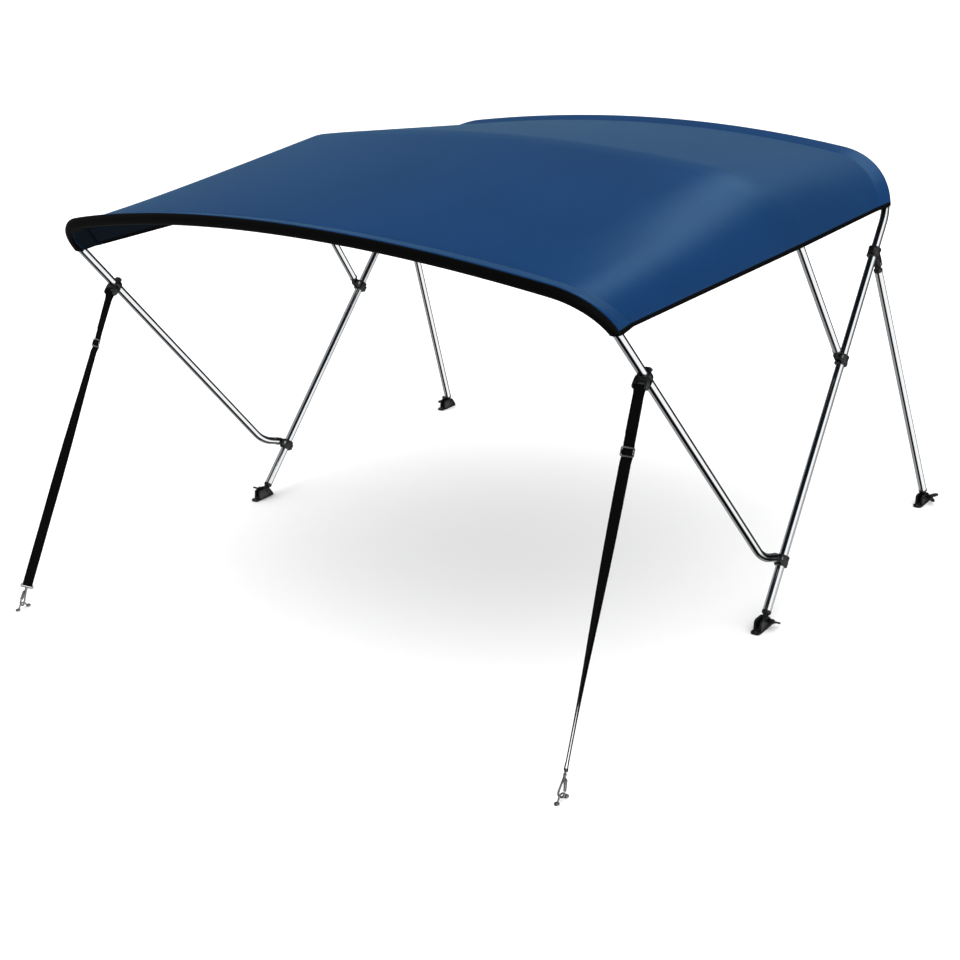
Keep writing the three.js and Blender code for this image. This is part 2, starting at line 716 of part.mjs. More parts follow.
// Side binding: follows the cloth's edge from the front roll over the middle bow and round the
// rear roll.
function bindingFace(frames, radius) {
  const { front, rear } = frames;
  return [
    ...[BINDING_FRONT, 2, wrapStart].map((angle) => onRoll(front, angle, radius, -1)),
    ...panels(frames, radius),
    ...[wrapStart, ...REAR_WRAP].map((angle) => onRoll(rear, angle, radius, 1)),
  ];
}

for (const { side, tag } of SIDES) {
  const sections = [BINDING_WIDTH, 0].map((inset) => {
    const frames = clothFrames((bow) => bow.clothHalf - inset, side);
    return {
      outer: bindingFace(frames, CLOTH_MIDDLE + BINDING_THICKNESS / 2),
      inner: bindingFace(frames, CLOTH_MIDDLE - BINDING_THICKNESS / 2),
    };
  });
  add(`side_binding_${tag}`, sheet(sections), 'facing');
}

// Strap slide: a short sleeve on the front bow's leg with two ears and a bar for the webbing.
const EAR = { inside: 13.4, thickness: 4.5, radius: 6.5, rootHalf: 9, rootFrom: 4, rootTo: 17 };
const SHORT_SLEEVE = { radius: 16, half: 10 };

function strapSlide() {
  const outline = new THREE.Shape();
  outline.moveTo(0, EAR.rootHalf);
  outline.lineTo(0, -EAR.rootHalf);
  outline.lineTo(STRAP_SLIDE.reach, -EAR.radius);
  outline.absarc(STRAP_SLIDE.reach, 0, EAR.radius, -Math.PI / 2, Math.PI / 2);
  const outside = EAR.inside + EAR.thickness;
  const body = join(
    rod('z', SHORT_SLEEVE.radius, -SHORT_SLEEVE.half, SHORT_SLEEVE.half, 20),
    block(-outside, outside, EAR.rootFrom, EAR.rootTo, -EAR.rootHalf, EAR.rootHalf),
    sidePlate(outline, EAR.inside, outside),
    sidePlate(outline, -outside, -EAR.inside),
    rod('x', STRAP_SLIDE.barRadius, -outside + 1, outside - 1, 10)
      .translate(0, STRAP_SLIDE.reach, 0),
  );
  return toGeometry(cut(
    body,
    rod('z', SLEEVE.bore, -SHORT_SLEEVE.half - 1, SHORT_SLEEVE.half + 1, 20),
  ));
}

// The strap runs straight from the slide's bar to the eye strap's arch on the deck.
const strapSlideAt = frontBow.at(frontBow.distanceAt(STRAP_SLIDE.distance), 1);
const legUp = strapSlideAt.tangent.clone().negate();
const pull = new THREE.Vector3().subVectors(ARCH_TOP, strapSlideAt.point);
pull.addScaledVector(legUp, -pull.dot(legUp)).setX(0);
pull.addScaledVector(legUp, -pull.dot(legUp)).normalize();
const barCentre = strapSlideAt.point.clone().addScaledVector(pull, STRAP_SLIDE.reach);
const strapUp = new THREE.Vector3().subVectors(barCentre, ARCH_TOP).normalize();
const bailCentre = ARCH_TOP.clone().addScaledVector(strapUp, HOOK_LENGTH);
const strapLength = barCentre.distanceTo(bailCentre);
const strapX = OUTWARD.clone().addScaledVector(strapUp, -strapUp.x).normalize();
const strapBack = new THREE.Vector3().crossVectors(strapUp, strapX);

// How far the webbing has turned about its own length, at a distance below the bar.
function twistAt(below) {
  const share = THREE.MathUtils.clamp(below / strapLength, 0, 1);
  const first = Math.min(share / TWIST.turned, 1);
  const second = THREE.MathUtils.smoothstep(share, TWIST.start, TWIST.end);
  return (TWIST.upper * first + (TWIST.lower - TWIST.upper) * second) * DEGREE;
}

function strapFrame(below) {
  const turn = twistAt(below);
  const across = strapX.clone().multiplyScalar(Math.cos(turn))
    .addScaledVector(strapBack, Math.sin(turn));
  const front = strapX.clone().multiplyScalar(Math.sin(turn))
    .addScaledVector(strapBack, -Math.cos(turn));
  return { centre: barCentre.clone().addScaledVector(strapUp, -below), across, front };
}

// The webbing's route as (distance below the bar, offset to the front), one long strip:
// a sewn tail, the loop over the bar, through the adjuster, round the hook's bail and back up.
// The plies lie PLY to either side of the middle. They part SPREAD before each loop, and pass the
// adjuster's bars on its back and its centre bar on its front.
const PLY = WEBBING.thickness / 2 + 0.2;
const SPREAD = 16;
const BAR_SLACK = 1.1;
const BAR_TURN = STRAP_SLIDE.barRadius + BAR_SLACK + WEBBING.thickness / 2;
const BAIL_TURN = 3.5;
const BEHIND = ADJUSTER.thickness / 2 + GAP + WEBBING.thickness / 2;
const THREADED = ADJUSTER.height / 2;
const SLOT_EDGE = THREADED - ADJUSTER.bar - 0.6;
const CENTRE_BAR = ADJUSTER.bar / 2 + 0.45;
const LEAD_IN = 8;
const LEAD_OUT = 12;
const RUN_STEPS = 18;

function halfTurn(below, radius, down, steps = 5) {
  const turn = [];
  for (let step = 0; step <= steps; step += 1) {
    const angle = Math.PI * (step / steps);
    turn.push([below + down * radius * Math.sin(angle), radius * Math.cos(angle)]);
  }
  return turn;
}

function evenRun(from, to, fromOffset, toOffset, steps) {
  const run = [];
  for (let step = 1; step < steps; step += 1) {
    const share = step / steps;
    run.push([from + (to - from) * share, fromOffset + (toOffset - fromOffset) * share]);
  }
  return run;
}

function webbingRoute() {
  const at = ADJUSTER.below;
  const under = at + THREADED + LEAD_OUT;
  const above = strapLength - SPREAD;
  const apart = BAIL_TURN - 1;
  const secondPly = BEHIND + WEBBING.thickness + GAP + 0.1;
  return [
    [TAIL_END, PLY],
    [SPREAD, PLY + 0.4],
    ...halfTurn(0, BAR_TURN, -1),
    [SPREAD, -PLY - 0.4],
    [at - THREADED - LEAD_IN, -PLY],
    [at - THREADED, -BEHIND],
    [at - SLOT_EDGE, -BEHIND],
    [at - CENTRE_BAR, BEHIND],
    [at + CENTRE_BAR, BEHIND],
    [at + SLOT_EDGE, -BEHIND],
    [at + THREADED, -BEHIND],
    [under, PLY],
    ...evenRun(under, above, PLY, apart, RUN_STEPS),
    [above, apart],
    ...halfTurn(strapLength, BAIL_TURN, 1),
    [above, -apart],
    ...evenRun(above, under, -apart, -PLY, RUN_STEPS),
    [under, -PLY],
    [at + THREADED, -secondPly],
    [at + THREADED - 7, -secondPly + 0.5],
  ];
}

// The route's two faces: each corner is moved half the thickness along its mitre.
function offsetRoute(route, offset) {
  return route.map(([below, front], index) => {
    const before = route[Math.max(index - 1, 0)];
    const after = route[Math.min(index + 1, route.length - 1)];
    const incoming = new THREE.Vector2(below - before[0], front - before[1]).normalize();
    const outgoing = new THREE.Vector2(after[0] - below, after[1] - front).normalize();
    const along = incoming.clone().add(outgoing).normalize();
    const straight = incoming.lengthSq() > 0 ? incoming : outgoing;
    const stretch = 1 / Math.max(along.dot(straight), 0.5);
    return [below - along.y * offset * stretch, front + along.x * offset * stretch];
  });
}

function webbing(side) {
  const route = webbingRoute();
  const half = WEBBING.thickness / 2;
  const face = (offset, across) => offsetRoute(route, offset).map(([below, front]) => {
    const frame = strapFrame(below);
    const point = frame.centre.clone()
      .addScaledVector(frame.across, across)
      .addScaledVector(frame.front, front);
    return mirrored(point, side);
  });
  return sheet([-WEBBING.width / 2, WEBBING.width / 2].map((across) => ({
    outer: face(half, across),
    inner: face(-half, across),
  })));
}

// Adjuster: a flat metal frame with a centre bar between two slots.
function adjuster() {
  const { width, height, corner, bar, slotWidth, thickness } = ADJUSTER;
  const outline = roundedRectangle(new THREE.Shape(), -width / 2, width / 2, -height / 2,
    height / 2, corner);
  for (const from of [bar / 2, -height / 2 + bar]) {
    const to = from + (height - 3 * bar) / 2;
    outline.holes.push(roundedRectangle(new THREE.Path(), -slotWidth / 2, slotWidth / 2, from, to,
      1));
  }
  return facePlate(outline, thickness);
}

// Bail: the flat loop that holds the webbing, with the swivel's barrel below it.
const BAIL = {
  halfWidth: 17.5, top: 1.75, bottom: -9.5, corner: 4.5, thickness: 3.4,
  windowHalf: 13.7, windowFloor: -5.5, windowCorner: 0.9,
};
const BARREL = { radius: 3.7, bottom: -15, boreTop: -8.6, bore: 2.3 };

function bail() {
  const { halfWidth, bottom, top, corner, windowHalf, windowFloor, windowCorner } = BAIL;
  const outline = roundedRectangle(new THREE.Shape(), -halfWidth, halfWidth, bottom, top, corner);
  outline.holes.push(roundedRectangle(new THREE.Path(), -windowHalf, windowHalf, windowFloor, -top,
    windowCorner));
  const body = join(
    facePlate(outline, BAIL.thickness),
    rod('z', BARREL.radius, BARREL.bottom, BAIL.bottom + 2, 12),
  );
  return toGeometry(cut(body, rod('z', BARREL.bore, BARREL.bottom - 1, BARREL.boreTop, 12)));
}

// Snap hook: a swivel post with its flange, a slanting spine bent to a hook, and a gate lug.
const HOOK = {
  rod: 2.4, bend: 7.4, bendCentre: -50, nose: -45.5, post: 1.9, shoulder: -2, spineTop: -20.5,
};
const FLANGE = { radius: 3.7, height: 2.6 };
const LUG = { from: -3, thickness: 3.6, radius: 2.2 };
const GATE = { pivotX: 4, pivotZ: -21.5, ear: 3, thickness: 7.4, end: -44.2, channel: 4.2 };
const GATE_TIP = { inner: HOOK.bend - 1.6, outer: HOOK.bend + 1.4 };
const GATE_PIN = { radius: 1, bore: 1.4 };

function hookRod() {
  const bend = [];
  for (let step = 0; step <= 8; step += 1) {
    const angle = Math.PI * (1 + step / 8);
    bend.push(new THREE.Vector3(HOOK.bend * Math.cos(angle), 0,
      HOOK.bendCentre + HOOK.bend * Math.sin(angle)));
  }
  const neck = BARREL.bottom - 1.5;
  const path = [
    new THREE.Vector3(0, 0, neck),
    new THREE.Vector3(HOOK.shoulder, 0, HOOK.spineTop),
    ...bend,
    new THREE.Vector3(HOOK.bend, 0, HOOK.nose),
  ];
  return tubeAlong(withTangents(path), HOOK.rod, 10);
}

function gateBody(thickness) {
  const { pivotX, pivotZ, ear, end } = GATE;
  const outline = new THREE.Shape();
  outline.moveTo(pivotX + ear, pivotZ);
  outline.absarc(pivotX, pivotZ, ear, 0, Math.PI);
  outline.lineTo(GATE_TIP.inner, end);
  outline.lineTo(GATE_TIP.outer, end);
  return facePlate(outline, thickness, 3);
}

function snapHook() {
  const { pivotX, pivotZ } = GATE;
  const half = LUG.thickness / 2;
  const flangeTop = BARREL.bottom - GAP;
  const body = join(
    rod('z', HOOK.post, flangeTop - 1, BARREL.boreTop - 0.4, 10),
    rod('z', FLANGE.radius, flangeTop - FLANGE.height, flangeTop, 12),
    hookRod(),
    block(LUG.from, pivotX, -half, half, pivotZ - 1.8, flangeTop - 1),
    rod('y', LUG.radius, -half, half, 12).translate(pivotX, 0, pivotZ),
  );
  const bore = rod('y', GATE_PIN.bore, -half - 1, half + 1, 12).translate(pivotX, 0, pivotZ);
  return toGeometry(cut(body, bore));
}

function hookGate() {
  const { pivotX, pivotZ, ear, thickness, channel } = GATE;
  const slot = LUG.thickness / 2 + GAP;
  const forked = cut(
    toSolid(gateBody(thickness)),
    block(pivotX - 2 * ear, pivotX + ear - 0.1, -slot, slot, pivotZ - channel, pivotZ + 2 * ear),
  );
  return toGeometry(forked.add(toSolid(
    rod('y', GATE_PIN.radius, -thickness / 2, thickness / 2, 10).translate(pivotX, 0, pivotZ),
  )));
}

// Eye strap: a round bar bent to an arch over two flange feet on the deck.
const FOOT = { at: 17.5, radius: 6, thickness: 4.4 };
const ARCH = { radius: 2, sides: 8 };
const ARCH_POINTS = [
  { y: 15.5, z: 3 },
  { y: 12.4, z: 5.5 },
  { y: 9.6, z: 10.5 },
  { y: 5.8, z: 15.2 },
  { y: 0, z: ARCH_TOP.z },
];

function eyeStrap() {
  const rising = ARCH_POINTS.map(({ y, z }) => new THREE.Vector3(0, -y, z));
  const falling = rising.slice(0, -1).reverse().map((p) => new THREE.Vector3(0, -p.y, p.z));
  const arch = tubeAlong(withTangents([...rising, ...falling]), ARCH.radius, ARCH.sides);
  return toGeometry(join(
    arch,
    rod('z', FOOT.radius, 0, FOOT.thickness, 14).translate(0, FOOT.at, 0),
    rod('z', FOOT.radius, 0, FOOT.thickness, 14).translate(0, -FOOT.at, 0),
  ));
}

for (const { side, tag } of SIDES) {
  const slideMesh = add(`strap_slide_${tag}`, strapSlide(), 'nylon');
  place(slideMesh, mirrored(strapSlideAt.point, side),
    new THREE.Vector3().crossVectors(mirrored(pull, side), mirrored(legUp, side)),
    mirrored(legUp, side));
  add(`strap_webbing_${tag}`, webbing(side), 'webbing');
  const adjusterFrame = strapFrame(ADJUSTER.below);
  place(add(`strap_adjuster_${tag}`, adjuster(), 'steel'), mirrored(adjusterFrame.centre, side),
    mirrored(adjusterFrame.across, side), mirrored(strapUp, side));
  place(add(`hook_bail_${tag}`, bail(), 'steel'), mirrored(bailCentre, side),
    mirrored(strapFrame(strapLength).across, side), mirrored(strapUp, side));
  for (const [name, geometry] of [['snap_hook', snapHook()], ['hook_gate', hookGate()]]) {
    place(add(`${name}_${tag}`, geometry, 'steel'), mirrored(bailCentre, side),
      new THREE.Vector3(side, 0, 0), mirrored(strapUp, side));
  }
  const eye = add(`eye_strap_${tag}`, eyeStrap(), 'steel');
  eye.position.set(side * ARCH_TOP.x, ARCH_TOP.y, 0);
}

// The origin is on the deck, under the middle of the whole part.
const bounds = new THREE.Box3().setFromObject(biminiTop, true);
biminiTop.position.y = -(bounds.min.y + bounds.max.y) / 2;

export default biminiTop;
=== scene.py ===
"""Bimini top: a blue cloth canopy over three polished tube bows, made over its CAD model."""

import math

import bmesh
import bpy
from bpy.props import FloatProperty, FloatVectorProperty, IntProperty, PointerProperty
from mathutils import Matrix, Vector


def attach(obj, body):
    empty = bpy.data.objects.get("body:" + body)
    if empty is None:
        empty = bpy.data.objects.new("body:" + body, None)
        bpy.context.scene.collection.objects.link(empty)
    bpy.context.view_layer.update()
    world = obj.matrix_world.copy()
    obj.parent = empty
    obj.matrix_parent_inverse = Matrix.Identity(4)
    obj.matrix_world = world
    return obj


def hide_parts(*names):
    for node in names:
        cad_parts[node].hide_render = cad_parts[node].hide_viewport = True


bl_info = {
    "name": "Bimini top",
    "version": (1, 0, 0),
    "blender": (4, 5, 0),
    "location": "3D View > Sidebar > Bimini",
    "description": "Cloth canopy, tube bows, straps and deck fittings of a bimini top",
    "category": "Object",
}

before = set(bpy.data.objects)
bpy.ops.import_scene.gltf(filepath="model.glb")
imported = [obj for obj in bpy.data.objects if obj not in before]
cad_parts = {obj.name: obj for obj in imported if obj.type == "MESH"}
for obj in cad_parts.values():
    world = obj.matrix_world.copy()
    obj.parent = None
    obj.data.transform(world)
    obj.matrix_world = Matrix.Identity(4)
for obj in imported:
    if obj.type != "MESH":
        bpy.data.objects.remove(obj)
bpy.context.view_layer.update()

# Sizes are in millimetres, as the maker's drawing gives them. MM turns a finished mesh to metres.
MM = 0.001
DEGREE = math.pi / 180
SIDES = ((1, "right"), (-1, "left"))
OUTWARD = Vector((1, 0, 0))
ROOT = "frame_and_canopy"

# The drawing's y is measured from the main hinge pins; the part's origin is under its middle.
SHIFT_Y = -31.75

TUBE_RADIUS = 11.1
TUBE_START = 24
MAIN_PIN = Vector((857, 12, 20))
REAR_PIN = Vector((880, 980, 20))

# Lean, taper and crown are angles. Straight is where the legs end and edge is where the cloth
# ends, both measured up the lean. Corner is the corners' radius.
MAIN_BOW = {"lean": 48.8, "taper": 2.6, "straight": 1127, "corner": 220, "crown": 9.4, "edge": 1175}
MIDDLE_BOW = {"lean": 57.2, "taper": 2.4, "straight": 385, "corner": 249, "crown": 9.7, "edge": 396}
FRONT_BOW = {"lean": 50.1, "taper": 1.7, "straight": 811, "corner": 138, "crown": 15, "edge": 813}

# The line of the front bow's long leg runs through this (y, z). Its foot is bent to the pin.
LEG_POINT = (-78, 293)
FOOT_BEND = {"radius": 150, "lean": 20, "steps": 14}

# Slides on the main bow: name, distance up the bow, facing, reach off the axis, drop down it.
SLIDES = (
    ("front", 158, -1, 26, 0),
    ("middle", 722, -1, 26, 0),
    ("rear", 1040, 1, 40, 12),
)

# The cloth's radii are measured from a bow's centre line.
GAP = 0.3
CLOTH_ROOM = 1.5
CLOTH_INSIDE = TUBE_RADIUS + 1.05
CLOTH_MIDDLE = CLOTH_INSIDE + CLOTH_ROOM / 2
CLOTH_OUTSIDE = CLOTH_INSIDE + CLOTH_ROOM
CLOTH_TUCK = 9
POCKET_DEPTH = 48
FACING_THICKNESS = 1.2
FACING_GAP = 0.35
BINDING_WIDTH = 13
BINDING_THICKNESS = 2.1

# Where the facing and the binding end round a roll, in degrees from straight out.
FACING_FROM = 165
FACING_TO = 21
BINDING_FRONT = 30
BINDING_END = 172

STRAP_REACH = 26
STRAP_DISTANCE = 660
ADJUSTER_BELOW = 140
ARCH_TOP = Vector((868, -919, 17))
HOOK_LENGTH = 50.4

# How far a strap is turned about its own run at its upper and its lower part, in degrees, and the
# shares of its length where it is first turned and where the twist between them starts and ends.
TWIST = {"upper": 8, "lower": -57, "turned": 0.1, "start": 0.2, "end": 0.92}


class Bow:
    """A bow in its leaning plane; distances along it are measured from its crown."""

    def __init__(self, origin, facing, lean, taper, straight, corner, crown, edge):
        self.origin = origin
        self.up = Vector((0, facing * math.cos(lean * DEGREE), math.sin(lean * DEGREE)))
        self.taper = taper * DEGREE
        self.crown = crown * DEGREE
        self.corner = corner
        self.straight = straight
        side = origin.x - straight * math.tan(self.taper)
        self.corner_x = side - corner * math.cos(self.taper)
        self.corner_s = straight - corner * math.sin(self.taper)
        self.crown_radius = (self.corner_x + corner * math.sin(self.crown)) / math.sin(self.crown)
        self.crown_s = self.corner_s + (corner - self.crown_radius) * math.cos(self.crown)
        self.crown_length = self.crown_radius * self.crown
        self.corner_length = corner * (math.pi / 2 - self.taper - self.crown)
        self.cloth_half = self.distance_at(edge)

    def distance_at(self, s):
        """Distance from the crown to the point of a leg or corner that is s up the lean."""
        if s <= self.straight:
            down = (self.straight - s) / math.cos(self.taper)
            return self.crown_length + self.corner_length + down
        turn = math.acos((s - self.corner_s) / self.corner)
        return self.crown_length + self.corner * (turn - self.crown)

    def at(self, distance, side):
        """Point, tangent towards the foot and outward normal, on the right (1) or left (-1)."""
        if distance <= self.crown_length:
            turn = distance / self.crown_radius
            x = self.crown_radius * math.sin(turn)
            s = self.crown_s + self.crown_radius * math.cos(turn)
        else:
            beyond = distance - self.crown_length
            turn = self.crown + min(beyond, self.corner_length) / self.corner
            down = max(beyond - self.corner_length, 0)
            x = self.corner_x + self.corner * math.sin(turn) + down * math.cos(turn)
            s = self.corner_s + self.corner * math.cos(turn) - down * math.sin(turn)
        point = self.up * s + Vector((side * x, self.origin.y, self.origin.z))
        tangent = self.up * -math.sin(turn) + Vector((side * math.cos(turn), 0, 0))
        normal = self.up * math.cos(turn) + Vector((side * math.sin(turn), 0, 0))
        return point, tangent, normal


def mirrored(vector, side):
    """A vector of the right side (1), or its mirror image on the left (-1)."""
    return Vector((vector.x * side, vector.y, vector.z))


main_bow = Bow(MAIN_PIN, 1, **MAIN_BOW)
main_up = main_bow.up * math.cos(main_bow.taper) - OUTWARD * math.sin(main_bow.taper)
across_main = Vector((0, main_bow.up.z, -main_bow.up.y))


def slide_places():
    """Centre, jaw direction and pin of each slide on the right leg of the main bow."""
    places = {}
    for name, distance, facing, reach, drop in SLIDES:
        centre = MAIN_PIN + main_up * distance
        jaw = across_main * facing
        places[name] = {
            "centre": centre,
            "jaw": jaw,
            "reach": reach,
            "drop": drop,
            "pin": centre + jaw * reach - main_up * drop,
        }
    return places


slides = slide_places()
middle_bow = Bow(slides["middle"]["pin"], -1, **MIDDLE_BOW)

# The front bow's foot: a short straight at the pin, a bend, then the long straight leg.
front_pin = slides["front"]["pin"]
front_lean = FRONT_BOW["lean"] * DEGREE
foot_lean = FOOT_BEND["lean"] * DEGREE
front_taper = math.tan(FRONT_BOW["taper"] * DEGREE)
foot_line = Vector((-math.cos(foot_lean), math.sin(foot_lean)))
off_leg = Vector((math.sin(front_lean), math.cos(front_lean)))
bend_shift = Vector((
    -FOOT_BEND["radius"] * (math.sin(front_lean) - math.sin(foot_lean)),
    FOOT_BEND["radius"] * (math.cos(foot_lean) - math.cos(front_lean)),
))
pin_to_leg = Vector((front_pin.y, front_pin.z)) - Vector(LEG_POINT)
foot_straight = -(pin_to_leg + bend_shift).dot(off_leg) / foot_line.dot(off_leg)
bend_length = FOOT_BEND["radius"] * (front_lean - foot_lean)
bend_top = Vector((front_pin.y, front_pin.z)) + foot_line * foot_straight + bend_shift
bend_to_leg = (bend_top - Vector(LEG_POINT)).length
leg_point_x = front_pin.x - front_taper * (foot_straight + bend_length + bend_to_leg)
front_bow = Bow(Vector((leg_point_x, *LEG_POINT)), -1, **FRONT_BOW)

rear_top = slides["rear"]["pin"]
pole_down = (REAR_PIN - rear_top).normalized()
pole_length = (REAR_PIN - rear_top).length


def bent_foot():
    """Points of the front bow's right leg, from its eye end through the bend."""
    def along(travel):
        x = front_pin.x - front_taper * travel
        return Vector((x, front_pin.y + foot_line.x * travel, front_pin.z + foot_line.y * travel))

    points = [along(TUBE_START)]
    start = along(foot_straight)
    radius = FOOT_BEND["radius"]
    for step in range(FOOT_BEND["steps"] + 1):
        lean = foot_lean + (front_lean - foot_lean) * step / FOOT_BEND["steps"]
        travel = foot_straight + radius * (lean - foot_lean)
        points.append(Vector((
            front_pin.x - front_taper * travel,
            start.y - radius * (math.sin(lean) - math.sin(foot_lean)),
            start.z + radius * (math.cos(foot_lean) - math.cos(lean)),
        )))
    return points


def bow_path(bow, foot):
    """The bow's whole centre line, from the right foot over the crown to the left foot."""
    crown_steps = 30
    corner_steps = 24
    arch = [bow.crown_length * step / crown_steps for step in range(crown_steps + 1)]
    arch += [
        bow.crown_length + bow.corner_length * step / corner_steps
        for step in range(1, corner_steps + 1)
    ]
    half = foot + [bow.at(distance, 1)[0] for distance in reversed(arch)]
    return half + [mirrored(point, -1) for point in reversed(half[:-1])]


# Materials

def linear(hex_colour):
    """Linear RGBA of an sRGB hex colour."""
    channels = [int(hex_colour[index:index + 2], 16) / 255 for index in (1, 3, 5)]
    return (*[c / 12.92 if c <= 0.04045 else ((c + 0.055) / 1.055) ** 2.4 for c in channels], 1)


def fill(tree, target, inputs):
    """Gives a node's inputs their values, or links them. A node stands for its first output."""
    for key, value in inputs.items():
        if isinstance(value, bpy.types.Node):
            value = value.outputs[0]
        if isinstance(value, bpy.types.NodeSocket):
            tree.links.new(value, target.inputs[key])
        else:
            target.inputs[key].default_value = value


def node_adder(tree):
    """The function that adds a node to a tree, with its settings, its inputs and a ramp's stops."""
    def node(kind, settings=None, inputs=None, stops=()):
        made = tree.nodes.new(kind)
        for key, value in (settings or {}).items():
            setattr(made, key, value)
        fill(tree, made, inputs or {})
        if stops:
            elements = made.color_ramp.elements
            for position, _ in stops[1:-1]:
                elements.new(position)
            for element, (position, colour) in zip(elements, stops):
                element.position = position
                element.color = colour
        return made

    return node


def new_material(name):
    """A new material's node function, and the one that fills its shader and gives the material."""
    made = bpy.data.materials.new(name)
    made.use_nodes = True
    tree = made.node_tree

    def finish(inputs):
        fill(tree, tree.nodes["Principled BSDF"], inputs)
        return made

    return node_adder(tree), finish


def polished_stainless():
    """Polished stainless tube: mirror bright, with a faint haze from the buffing wheel."""
    node, finish = new_material("polished_stainless_tube")
    metal = bpy.context.scene.bimini_metal
    place = node("ShaderNodeTexCoord").outputs["Object"]
    haze = node("ShaderNodeTexNoise", inputs={"Vector": place, "Scale": 60, "Detail": 4})
    rough = node("ShaderNodeMapRange", inputs={
        "Value": haze, "To Min": metal.tube_roughness * 0.6,
        "To Max": metal.tube_roughness * 1.4})
    return finish({"Base Color": (*metal.tube_colour, 1), "Metallic": 1,
                   "Roughness": rough})


def cast_stainless():
    """Cast and tumbled stainless steel: bright, with soft broken reflections."""
    node, finish = new_material("tumbled_stainless_steel")
    place = node("ShaderNodeTexCoord").outputs["Object"]
    # The marks of the tumbling chips are drawn about 2 mm wide.
    tumble = node("ShaderNodeTexNoise", inputs={"Vector": place, "Scale": 500, "Detail": 3})
    rough = node("ShaderNodeMapRange", inputs={"Value": tumble, "To Min": 0.18, "To Max": 0.38})
    bump = node("ShaderNodeBump", inputs={"Height": tumble, "Strength": 0.15, "Distance": 0.0002})
    return finish({"Base Color": (*bpy.context.scene.bimini_metal.steel_colour, 1), "Metallic": 1,
                   "Roughness": rough, "Normal": bump})


def moulded_nylon():
    """Glass-filled nylon, moulded: black with a fine grain and a soft, broad shine."""
    node, finish = new_material("moulded_black_nylon")
    place = node("ShaderNodeTexCoord").outputs["Object"]
    # Mould grain is about 0.2 mm, drawn at 1.2 mm so that it shows.
    grain = node("ShaderNodeTexNoise", inputs={"Vector": place, "Scale": 800, "Detail": 2})
    bump = node("ShaderNodeBump", inputs={"Height": grain, "Strength": 0.25, "Distance": 0.0002})
    return finish({"Base Color": (*bpy.context.scene.bimini_metal.nylon_colour, 1),
                   "Roughness": 0.36, "Normal": bump})


# Threads lie 0.5 mm apart, too fine to show, so the weave is drawn at 1.6 mm. Metres, as UVs are.
WEAVE_PITCH = 0.0016
RIB_PITCH = 0.0018
STITCH_LENGTH = 0.0035
THREAD_WIDTH = 0.001
TAPE_SEAM = 0.0018


def stitch_row(node, cross, run, place):
    """Factor that is 1 on the thread of a row of stitches that lies at a place across the cloth."""
    off = node("ShaderNodeMath", {"operation": "SUBTRACT"}, {0: cross, 1: place})
    away = node("ShaderNodeMath", {"operation": "ABSOLUTE"}, {0: off})
    near = node("ShaderNodeMath", {"operation": "LESS_THAN"}, {0: away, 1: THREAD_WIDTH / 2})
    phase = node("ShaderNodeMath", {"operation": "MULTIPLY"}, {0: run, 1: math.tau / STITCH_LENGTH})
    wave = node("ShaderNodeMath", {"operation": "SINE"}, {0: phase})
    thread = node("ShaderNodeMath", {"operation": "GREATER_THAN"}, {0: wave, 1: -0.5})
    return node("ShaderNodeMath", {"operation": "MULTIPLY"}, {0: near, 1: thread})


def woven_cloth(name, colour, rows, inputs):
    """Plain woven cloth. A function of the node function gives its rows of stitches."""
    node, finish = new_material(name)
    uv = node("ShaderNodeUVMap", {"uv_map": "cloth"})
    split = node("ShaderNodeSeparateXYZ", inputs={"Vector": uv}).outputs
    waves = []
    for axis in ("X", "Y"):
        phase = node("ShaderNodeMath", {"operation": "MULTIPLY"}, {
            0: split[axis], 1: math.tau / WEAVE_PITCH})
        waves.append(node("ShaderNodeMath", {"operation": "SINE"}, {0: phase}))
    weave = node("ShaderNodeMath", {"operation": "MULTIPLY"}, {0: waves[0], 1: waves[1]})
    cloud = node("ShaderNodeTexNoise", inputs={"Vector": uv, "Scale": 3, "Detail": 3})
    stops = [(position, (*[channel * share for channel in colour], 1))
             for position, share in ((0.3, 0.94), (0.7, 1.06))]
    base = node("ShaderNodeValToRGB", inputs={"Fac": cloud}, stops=stops)
    height = weave
    thread = (*bpy.context.scene.bimini_cloth.thread_colour, 1)
    for mask in rows(node, split):
        mix = node("ShaderNodeMix", {"data_type": "RGBA"}, {0: mask, 6: base, 7: thread})
        base = mix.outputs[2]
        height = node("ShaderNodeMath", {"operation": "ADD"}, {0: height, 1: mask})
    bump = node("ShaderNodeBump", inputs={"Height": height, "Strength": 0.1, "Distance": 0.0003})
    return finish({"Base Color": base, "Normal": bump, **inputs})


def marine_cloth():
    """Solution-dyed marine canvas: tight plain weave, deep blue, paler where it is seen edge on."""
    def seams(node, split):
        uv = node("ShaderNodeUVMap", {"uv_map": "seams"})
        away = node("ShaderNodeSeparateXYZ", inputs={"Vector": uv}).outputs
        return [stitch_row(node, away[axis], split["X"], 0) for axis in ("X", "Y")]

    bloom = linear("#9fe0ff")
    return woven_cloth("marine_canvas_blue", bpy.context.scene.bimini_cloth.canopy_colour, seams, {
        "Roughness": 0.38, "Specular IOR Level": 0.15, "Specular Tint": bloom,
        "Sheen Weight": 0.12, "Sheen Roughness": 0.3, "Sheen Tint": bloom})


# Coating and polyester tape take little light on their surface.
DULL = {"Roughness": 0.6, "Specular IOR Level": 0.06}


def coated_back_and_painted_shade():
    """The canvas's coated back: darker than its face, and dull. Its colour is also laid on the
    pockets' lower layers as painted shade.
    """
    colour = bpy.context.scene.bimini_cloth.underside_and_shade_colour
    return woven_cloth("coated_canvas_back_and_painted_shade", colour, lambda node, split: (), DULL)


